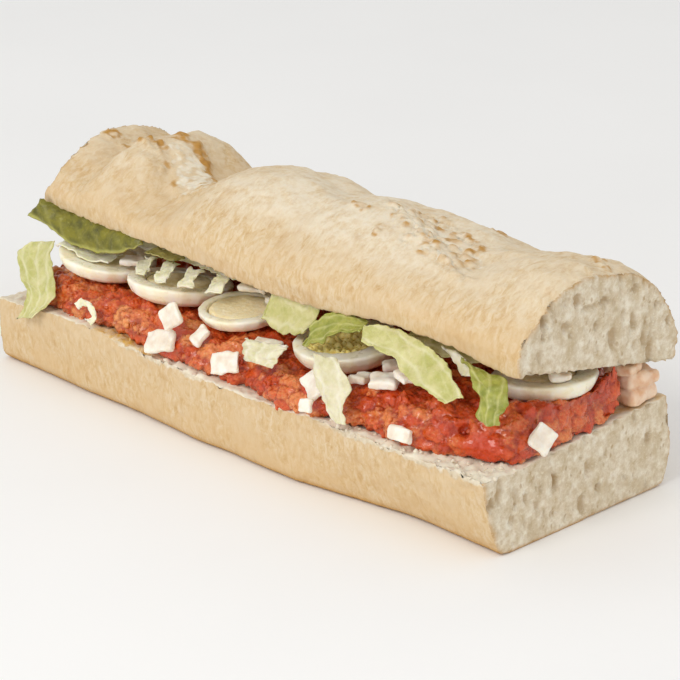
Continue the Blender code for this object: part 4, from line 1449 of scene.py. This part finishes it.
@dataclass
class LeafPiece:
    """One piece of lettuce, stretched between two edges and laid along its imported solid.

    Attributes:
        node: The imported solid.
        edge_a: Stations along its front or left edge.
        edge_b: Stations along its back or right edge.
        kind: Which lettuce it is.
        veins: How its ribs run.
        frill: How far its edges ripple.
        folds: How many ripples run along an edge.
        lift: How far edge_b is lifted.
    """

    node: str
    edge_a: list[Spot]
    edge_b: list[Spot]
    kind: LeafKind
    veins: Veins
    frill: float = 0.5
    folds: float = 5.0
    lift: float = 0.0

    STEPS = (64, 26)  # squares along and across a leaf
    THICKNESS = 0.45
    INSIDE = 0.4  # how far under the solid's face its middle lies
    EVENINGS = 7
    ORIGIN = (-1.98, 0.12, 2.4)  # where the stations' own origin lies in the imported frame
    GREEN = ("leaf_dark_end", "leaf_green_front", "leaf_olive")

    def ruled(self) -> np.ndarray:
        """A net of places between the two edges, as steps x steps x 3 millimetres."""
        count, across = self.STEPS
        net = np.empty((count + 1, across + 1, 3))
        for i in range(count + 1):
            rails = []
            for edge in (self.edge_a, self.edge_b):
                share = i / count * (len(edge) - 1)
                spot = [along([(k, p[axis]) for k, p in enumerate(edge)], share) for axis in range(3)]
                rails.append(np.array(spot))
            t = np.linspace(0, 1, across + 1)[:, None]
            net[i] = rails[0] * (1 - t) + rails[1] * t
        return net + np.array(self.ORIGIN)

    def laid(self, net: np.ndarray) -> np.ndarray:
        """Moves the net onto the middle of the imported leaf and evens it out.

        Args:
            net: Places, as steps x steps x 3.

        Returns:
            The new places.
        """
        solid = frame["nodes"][self.node].data
        faces = [tuple(p.vertices) for p in solid.polygons]
        tree = BVHTree.FromPolygons([v.co / MM for v in solid.vertices], faces)
        flat = net.reshape(-1, 3)
        for index, spot in enumerate(flat):
            place, normal, _, _ = tree.find_nearest(Vector(spot))
            flat[index] = place - normal * self.INSIDE
        net = flat.reshape(net.shape)
        for _ in range(self.EVENINGS):
            around = net.copy()
            around[1:-1] = (net[:-2] + net[2:] + 2 * net[1:-1]) / 4
            net = around.copy()
            net[:, 1:-1] = (around[:, :-2] + around[:, 2:] + 2 * around[:, 1:-1]) / 4
        return net

    def ribs(self, s: np.ndarray, t: np.ndarray) -> np.ndarray:
        """Draws the ribs.

        Args:
            s: How far along the leaf each place of the net is, from 0 to 1.
            t: How far across it is.

        Returns:
            How much of a rib is at each place, from 0 to 1.
        """
        wander = 0.12 * np.sin(9.0 * s + 4.0 * t) + 0.06 * np.sin(23.0 * s)
        if self.veins is Veins.EDGE:
            main = np.exp(-np.square((t - 0.07) / 0.07))
            side = np.abs(np.sin(math.pi * (6 * s + 1.4 * t + wander))) ** 22 * step(0.9, 0.2, t) * 0.35
            return np.clip(main + side, 0, 1)
        if self.veins is Veins.FAN:
            lines = np.abs(np.sin(math.pi * (2.4 * t + 1.6 * s * (t - 0.5) + 0.3 + wander))) ** 22
            branch = np.abs(np.sin(math.pi * (4.6 * s + 2.6 * np.abs(t - 0.5) + wander))) ** 30
            return np.clip(0.75 * lines + 0.3 * branch, 0, 1)
        if self.veins is Veins.ALONG:
            lines = np.abs(np.sin(math.pi * (1.7 * t + 0.2 + wander))) ** 26
            side = np.abs(np.sin(math.pi * (5 * s + 2.2 * np.abs(t - 0.5) + wander))) ** 30 * 0.25
            return np.clip(0.65 * lines + side, 0, 1)
        return 0.3 * np.abs(np.sin(math.pi * (2.0 * t + 1.4 * s + wander))) ** 8

    def shaped(self, s: np.ndarray, t: np.ndarray, vein: np.ndarray) -> np.ndarray:
        """The net with its frilled edges, crinkles and ribs.

        Args:
            s: How far along the leaf each place of the net is, from 0 to 1.
            t: How far across it is.
            vein: How much of a rib is there.

        Returns:
            Places, as N x 3 millimetres.
        """
        net = self.laid(self.ruled())
        net[:, :, 2] += self.lift * t
        run, over = np.gradient(net, axis=0), np.gradient(net, axis=1)
        normal = np.cross(run, over)
        normal /= np.linalg.norm(normal, axis=2, keepdims=True) + 1e-9
        over /= np.linalg.norm(over, axis=2, keepdims=True) + 1e-9
        flat = net.reshape(-1, 3)
        edge = (np.abs(2 * t - 1) ** 2).ravel()
        seed = sum(ord(c) for c in self.node)
        drift = 1.6 * swell(flat, 7.0, seed + 3)
        ripple = np.sin(math.tau * self.folds * s.ravel() + 3 * t.ravel() + seed + drift) * edge
        crinkle = 0.5 * swell(flat, 4.0, seed) + 0.22 * swell(flat, 1.8, seed + 1)
        frill = self.frill * (0.45 * ripple + 0.5 * edge * swell(flat, 3.0, seed + 4))
        flat = flat + normal.reshape(-1, 3) * (frill + crinkle + 0.2 * vein - 0.1)[:, None]
        fray = 0.7 * edge * swell(flat, 2.2, seed + 2) * np.sign(t - 0.5).ravel()
        return flat + over.reshape(-1, 3) * fray[:, None]

    def build(self) -> bpy.types.Object:
        """The leaf as a thin closed piece with ribs and frilled edges."""
        count, across = self.STEPS
        s, t = np.meshgrid(np.linspace(0, 1, count + 1), np.linspace(0, 1, across + 1), indexing="ij")
        vein = self.ribs(s, t).ravel()
        flat = self.shaped(s, t, vein)
        faces = []
        for i in range(count):
            for j in range(across):
                a = i * (across + 1) + j
                faces.append((a, a + across + 1, a + across + 2, a + 1))
        mesh = bpy.data.meshes.new(self.node + "_leaf")
        mesh.from_pydata([tuple(p * MM) for p in flat], [], faces)
        obj = bpy.data.objects.new(self.node + "_leaf", mesh)
        bpy.context.scene.collection.objects.link(obj)
        mark(obj, "vein", vein)
        skin = obj.modifiers.new("thickness", "SOLIDIFY")
        skin.thickness = self.THICKNESS * MM
        skin.offset = 0.0
        settled(obj)
        obj.data.shade_smooth()
        write(obj, read(obj)[0], (self.node,))
        obj.data.materials.append(finish_of(self.kind))
        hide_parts(self.node)
        return settle_in(obj, "lettuce_green" if self.node in self.GREEN else "lettuce_pale")


LEAF_FINISHES: dict[LeafKind, bpy.types.Material] = {}


def finish_of(kind: LeafKind) -> bpy.types.Material:
    """The material of that kind of lettuce, made once."""
    if kind not in LEAF_FINISHES:
        LEAF_FINISHES[kind] = kind.value.material()
    return LEAF_FINISHES[kind]


LEAVES = [
    LeafPiece("leaf_dark_end",
              [(-110, -31, 48.5), (-98.5, -30, 45.8), (-92.5, -29, 42.6), (-78, -28.5, 42.6),
               (-65.5, -28, 45.5), (-56, -25, 50.2)],
              [(-103, -30, 55.4), (-100.5, -25, 51.6), (-91.5, -24, 51), (-80, -24, 51), (-69, -24, 51.2),
               (-58, -24, 51.5)],
              LeafKind.DARK, Veins.EDGE, 0.6, 4, 1.8),
    LeafPiece("leaf_pale_end",
              [(-108, -31, 39.5), (-112.5, -34, 35.3), (-105.5, -39, 29.6), (-96.5, -43, 27),
               (-99, -46, 17.6)],
              [(-95.5, -30.5, 43), (-93.5, -35, 38.5), (-85, -39.5, 32), (-84, -43.5, 27), (-90, -46, 20)],
              LeafKind.BRIGHT, Veins.FAN, 0.5, 3),
    LeafPiece("leaf_over_egg",
              [(-95.5, -31, 41.6), (-88, -31.5, 40), (-79, -31, 40), (-71, -28, 40)],
              [(-95.5, -23, 41.6), (-89, -20, 40.5), (-82, -19, 40.5), (-74, -19, 40.5)],
              LeafKind.HEART, Veins.FAINT, 1.1, 1.5, 1.0),
    LeafPiece("leaf_middle",
              [(3, -27, 41.8), (11, -27.5, 39.2), (20, -27.5, 41), (25, -28, 43.5)],
              [(4, -23, 50), (12, -23, 50.5), (20, -22.5, 51), (26, -22, 51)],
              LeafKind.BRIGHT, Veins.ALONG, 0.5, 2, 1.2),
    LeafPiece("leaf_frill",
              [(29, -33.5, 41.8), (33.5, -32.5, 43), (39, -31, 46.8), (45, -30, 49.5), (50.5, -29.5, 51)],
              [(26.5, -29, 44.5), (31, -25.5, 49.5), (37, -23.5, 52), (43, -23.5, 52.2), (49, -23.5, 52)],
              LeafKind.FRESH, Veins.FAN, 1.2, 4, 1.2),
    LeafPiece("leaf_drape",
              [(51, -28, 53.5), (59, -25.5, 55), (67, -25.5, 55), (79, -26.5, 53.5), (91, -31.5, 51.5),
               (101, -36, 46.5)],
              [(54, -31.5, 49), (61, -32.5, 49), (69, -33, 48.5), (74.5, -34.5, 45.5),
               (84.5, -35.5, 43.8), (94, -37, 42.6)],
              LeafKind.BRIGHT, Veins.ALONG, 1.1, 4),
    LeafPiece("leaf_shred_end",
              [(78, -22, 52.5), (84, -23, 50.5), (89, -25, 47)],
              [(84, -21.5, 52.5), (90, -22.5, 51), (94.5, -24.5, 48)],
              LeafKind.HEART, Veins.FAINT, 0.4, 1.5),
    LeafPiece("leaf_green_front",
              [(88, -24, 52.6), (95.5, -28.5, 51.4), (103, -32.6, 47.5), (107, -35.8, 41)],
              [(105, -23.5, 51.8), (113, -28.6, 50.2), (115.4, -33.6, 46), (115, -35.6, 41.5)],
              LeafKind.FRESH, Veins.FAN, 1, 3),
    LeafPiece("leaf_strip",
              [(37, -36.5, 42.5), (40.4, -39.5, 38.5), (45, -42, 34.4), (49.4, -43.5, 31), (55, -44.5, 27)],
              [(48, -36, 44), (54.4, -39.5, 41.5), (59.4, -42, 38), (58.4, -43.5, 33.6), (60.4, -44.5, 28)],
              LeafKind.STRIP, Veins.ALONG, 0.6, 2),
    LeafPiece("leaf_scrap",
              [(8.5, -38.5, 39.5), (9.5, -41, 36.5), (11.5, -42, 33.8)],
              [(28.5, -38.5, 43.5), (27.5, -41, 40), (24.5, -42, 35)],
              LeafKind.STRIP, Veins.FAN, 0.8, 3),
    LeafPiece("leaf_curl",
              [(-71, -42.6, 30), (-67, -42.8, 33.6), (-61.2, -43, 32.4), (-58.8, -43.4, 28.6),
               (-62, -43.6, 24.8)],
              [(-69, -42.6, 28.2), (-66, -42.8, 30.4), (-63.2, -43, 29.6), (-62, -43.4, 27.8),
               (-64.6, -43.6, 26.6)],
              LeafKind.HEART, Veins.FAINT, 0.4, 3),
    LeafPiece("leaf_olive",
              [(-56, -25, 47.8), (-48, -25, 47.8), (-41, -25, 48.2)],
              [(-55, -20, 48.8), (-48, -19, 48.6), (-41, -19.5, 48.8)],
              LeafKind.OLIVE, Veins.FAINT, 0.6, 3),
    LeafPiece("leaf_shred_left",
              [(-55.5, -30, 41.8), (-60, -24, 42.4), (-61.5, -19, 43.4)],
              [(-49.5, -30, 41.8), (-53.5, -24, 42.6), (-55, -19, 44.2)],
              LeafKind.HEART, Veins.FAINT, 1.1, 1.5, 1.0),
    LeafPiece("leaf_shred_middle",
              [(-45, -31, 42), (-49, -25, 43.2), (-51.5, -19, 44.6)],
              [(-38, -31, 42), (-41.5, -25, 43.6), (-44, -19, 45)],
              LeafKind.HEART, Veins.FAINT, 1.1, 1.5, 1.0),
    LeafPiece("leaf_shred_right",
              [(-34, -30, 42.4), (-37, -25, 44), (-39.5, -19, 45.2)],
              [(-27, -29, 43), (-30, -24, 44.8), (-32, -19, 46)],
              LeafKind.HEART, Veins.FAINT, 1.1, 1.5, 1.0),
    LeafPiece("leaf_shred_far",
              [(-23.5, -28, 43), (-25.5, -23, 44.8), (-27.5, -18, 46.4)],
              [(-16, -26, 43.6), (-18, -22, 45.4), (-19.5, -18, 46.6)],
              LeafKind.HEART, Veins.FAINT, 1.1, 1.5, 1.0),
    LeafPiece("leaf_back_left",
              [(-74, -14, 42.5), (-60, -15, 43), (-45, -14, 43.5), (-30, -14, 43.5), (-16, -12, 43.5)],
              [(-74, -8, 46.5), (-60, -9, 47), (-45, -8, 47), (-30, -8, 47), (-16, -6, 46.5)],
              LeafKind.HEART, Veins.ALONG, 0.7, 5),
    LeafPiece("leaf_back_middle",
              [(-11, -6, 42.5), (0, -8, 43), (11, -9, 43.5), (21, -9, 43.5)],
              [(-11, -2, 45.5), (0, -3, 45.5), (11, -4, 45.5), (21, -4, 46)],
              LeafKind.HEART, Veins.ALONG, 0.6, 3),
    LeafPiece("leaf_back_right",
              [(54, -14, 46), (64, -17, 46.5), (76, -17, 47), (88, -15, 47.5)],
              [(54, -7, 50), (64, -8, 50.5), (76, -8, 51), (88, -8, 51)],
              LeafKind.BRIGHT, Veins.ALONG, 0.7, 4),
]


@dataclass
class Onions:
    """The chopped onion. The pieces by the back corner are stained by the sauce.

    Attributes:
        clear_finish: The finish of most pieces.
        stained_finish: The finish of the stained ones.
        count: How many pieces there are in all.
        stained: Which of them are stained.
    """

    clear_finish: bpy.types.Material
    stained_finish: bpy.types.Material
    count: int = 23
    stained: tuple[int, ...] = (18, 19, 20)

    def piece(self, number: int) -> bpy.types.Object:
        """One piece, its cut corners softened and its faces made a little uneven.

        Args:
            number: Which piece, from 1.

        Returns:
            The piece.
        """
        skin = Skin(f"onion_bit_{number:02d}", (f"onion_{number:02d}",), "onion", 0.34, 6)
        obj = skin.make()
        points, normals = read(obj)
        uneven = 0.75 * swell(points, 5.0, 120 + number) + 0.25 * swell(points, 2.2, 121) - 0.15
        points += normals * uneven[:, None]
        write(obj, points, skin.nodes)
        return skin.finish(obj, self.clear_finish)

    def cluster(self) -> bpy.types.Object:
        """The pieces by the back corner, stuck together by the sauce."""
        skin = Skin("onion_stained", tuple(f"onion_{n:02d}" for n in self.stained), "onion", 0.5, 9)
        obj = skin.make()
        points, normals = read(obj)
        uneven = 0.7 * swell(points, 5.0, 130) + 0.25 * swell(points, 2.0, 131) + 0.35
        points += normals * uneven[:, None]
        write(obj, points, skin.nodes)
        return skin.finish(obj, self.stained_finish)

    def build(self) -> None:
        """All the pieces."""
        for number in range(1, self.count + 1):
            if number not in self.stained:
                self.piece(number)
        self.cluster()


# The studio


@dataclass(frozen=True)
class Lamp:
    """A square soft lamp that looks at the food, with its place and side in metres and its power in watts."""

    name: str
    spot: Spot
    side: float
    power: float


@dataclass
class Studio:
    """The pale floor, the soft light and the camera, in metres.

    Attributes:
        lamps: A strong lamp above in front, a weak one at the right, and a low one in front.
        lamp_colour: Their colour.
        room_colour: The colour of the white room.
        room_power: How bright the room is.
        aim: What the lamps look at.
        reach: Half the floor's side.
        camera_spot: Where the camera is.
        camera_back: The way from the food back to the camera.
        lens: Its focal length in millimetres.
        sensor: Its sensor's width in millimetres.
    """

    lamps: tuple[Lamp, ...] = (
        Lamp("key", (0.08, -1.05, 0.95), 0.5, 6.0), Lamp("fill", (0.95, -0.1, 0.35), 0.8, 0.7),
        Lamp("front", (0.1, -1.2, 0.16), 0.6, 1.3))
    lamp_colour: Colour = (1, 0.98, 0.95)
    room_colour: Colour = (1, 0.995, 0.985)
    room_power: float = 0.74
    aim: Spot = (0, 0, 0.03)
    reach: float = 4.0
    camera_spot: Spot = (0.67609, -0.64367, 0.40585)
    camera_back: Spot = (0.66696, -0.64408, 0.37461)
    lens: float = 163.588
    sensor: float = 36.0

    def floor(self) -> None:
        """A wide pale floor under the food."""
        mesh = bpy.data.meshes.new("floor")
        corners = ((-1, -1), (1, -1), (1, 1), (-1, 1))
        mesh.from_pydata([(x * self.reach, y * self.reach, 0.0) for x, y in corners], [], [(0, 1, 2, 3)])
        obj = bpy.data.objects.new("floor", mesh)
        bpy.context.scene.collection.objects.link(obj)
        r = Recipe("floor")
        colour = r.ramp(r.noise(120.0, 2.0), [(0.3, (0.93, 0.93, 0.925)), (0.7, (0.95, 0.95, 0.945))])
        obj.data.materials.append(r.done(colour, 0.9))

    def light(self) -> None:
        """The lamps and the white room."""
        world = bpy.data.worlds.new("room")
        world.use_nodes = True
        room = world.node_tree.nodes["Background"]
        room.inputs["Color"].default_value = (*self.room_colour, 1)
        room.inputs["Strength"].default_value = self.room_power
        bpy.context.scene.world = world
        for lamp in self.lamps:
            data = bpy.data.lights.new(lamp.name, "AREA")
            data.size = lamp.side
            data.energy = lamp.power
            data.color = self.lamp_colour
            obj = bpy.data.objects.new(lamp.name, data)
            bpy.context.scene.collection.objects.link(obj)
            obj.location = lamp.spot
            obj.rotation_euler = (Vector(lamp.spot) - Vector(self.aim)).to_track_quat("Z", "Y").to_euler()

    def camera(self) -> None:
        """The camera, from the front right and a little above."""
        data = bpy.data.cameras.new("camera")
        data.lens = self.lens
        data.sensor_width = self.sensor
        obj = bpy.data.objects.new("camera", data)
        bpy.context.scene.collection.objects.link(obj)
        obj.location = self.camera_spot
        obj.rotation_euler = Vector(self.camera_back).to_track_quat("Z", "Y").to_euler()
        bpy.context.scene.camera = obj
        bpy.context.scene.view_settings.view_transform = "Standard"

    def build(self) -> None:
        """The floor, the light and the camera."""
        self.floor()
        self.light()
        self.camera()


def clear_scene() -> None:
    """Removes what the new scene came with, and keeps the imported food."""
    kept = set(frame["nodes"].values()) | set(frame["bodies"].values())
    for obj in [o for o in bpy.data.objects if o not in kept]:
        bpy.data.objects.remove(obj)


def main() -> None:
    """Builds the sandwich from the base up."""
    logging.basicConfig(level=logging.INFO, format="%(message)s")
    clear_scene()
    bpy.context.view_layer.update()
    Baguette(BakedBread().material()).build()
    MinceBed(SaucyMince().material()).build()
    Eggs(EggWhite().material(), EggYolk().material(), CRUMBLED_YOLK.material()).build()
    for leaf in LEAVES:
        leaf.build()
    Onions(CLEAR_ONION.material(), STAINED_ONION.material()).build()
    Studio().build()
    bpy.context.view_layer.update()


if __name__ == "__main__":
    main()
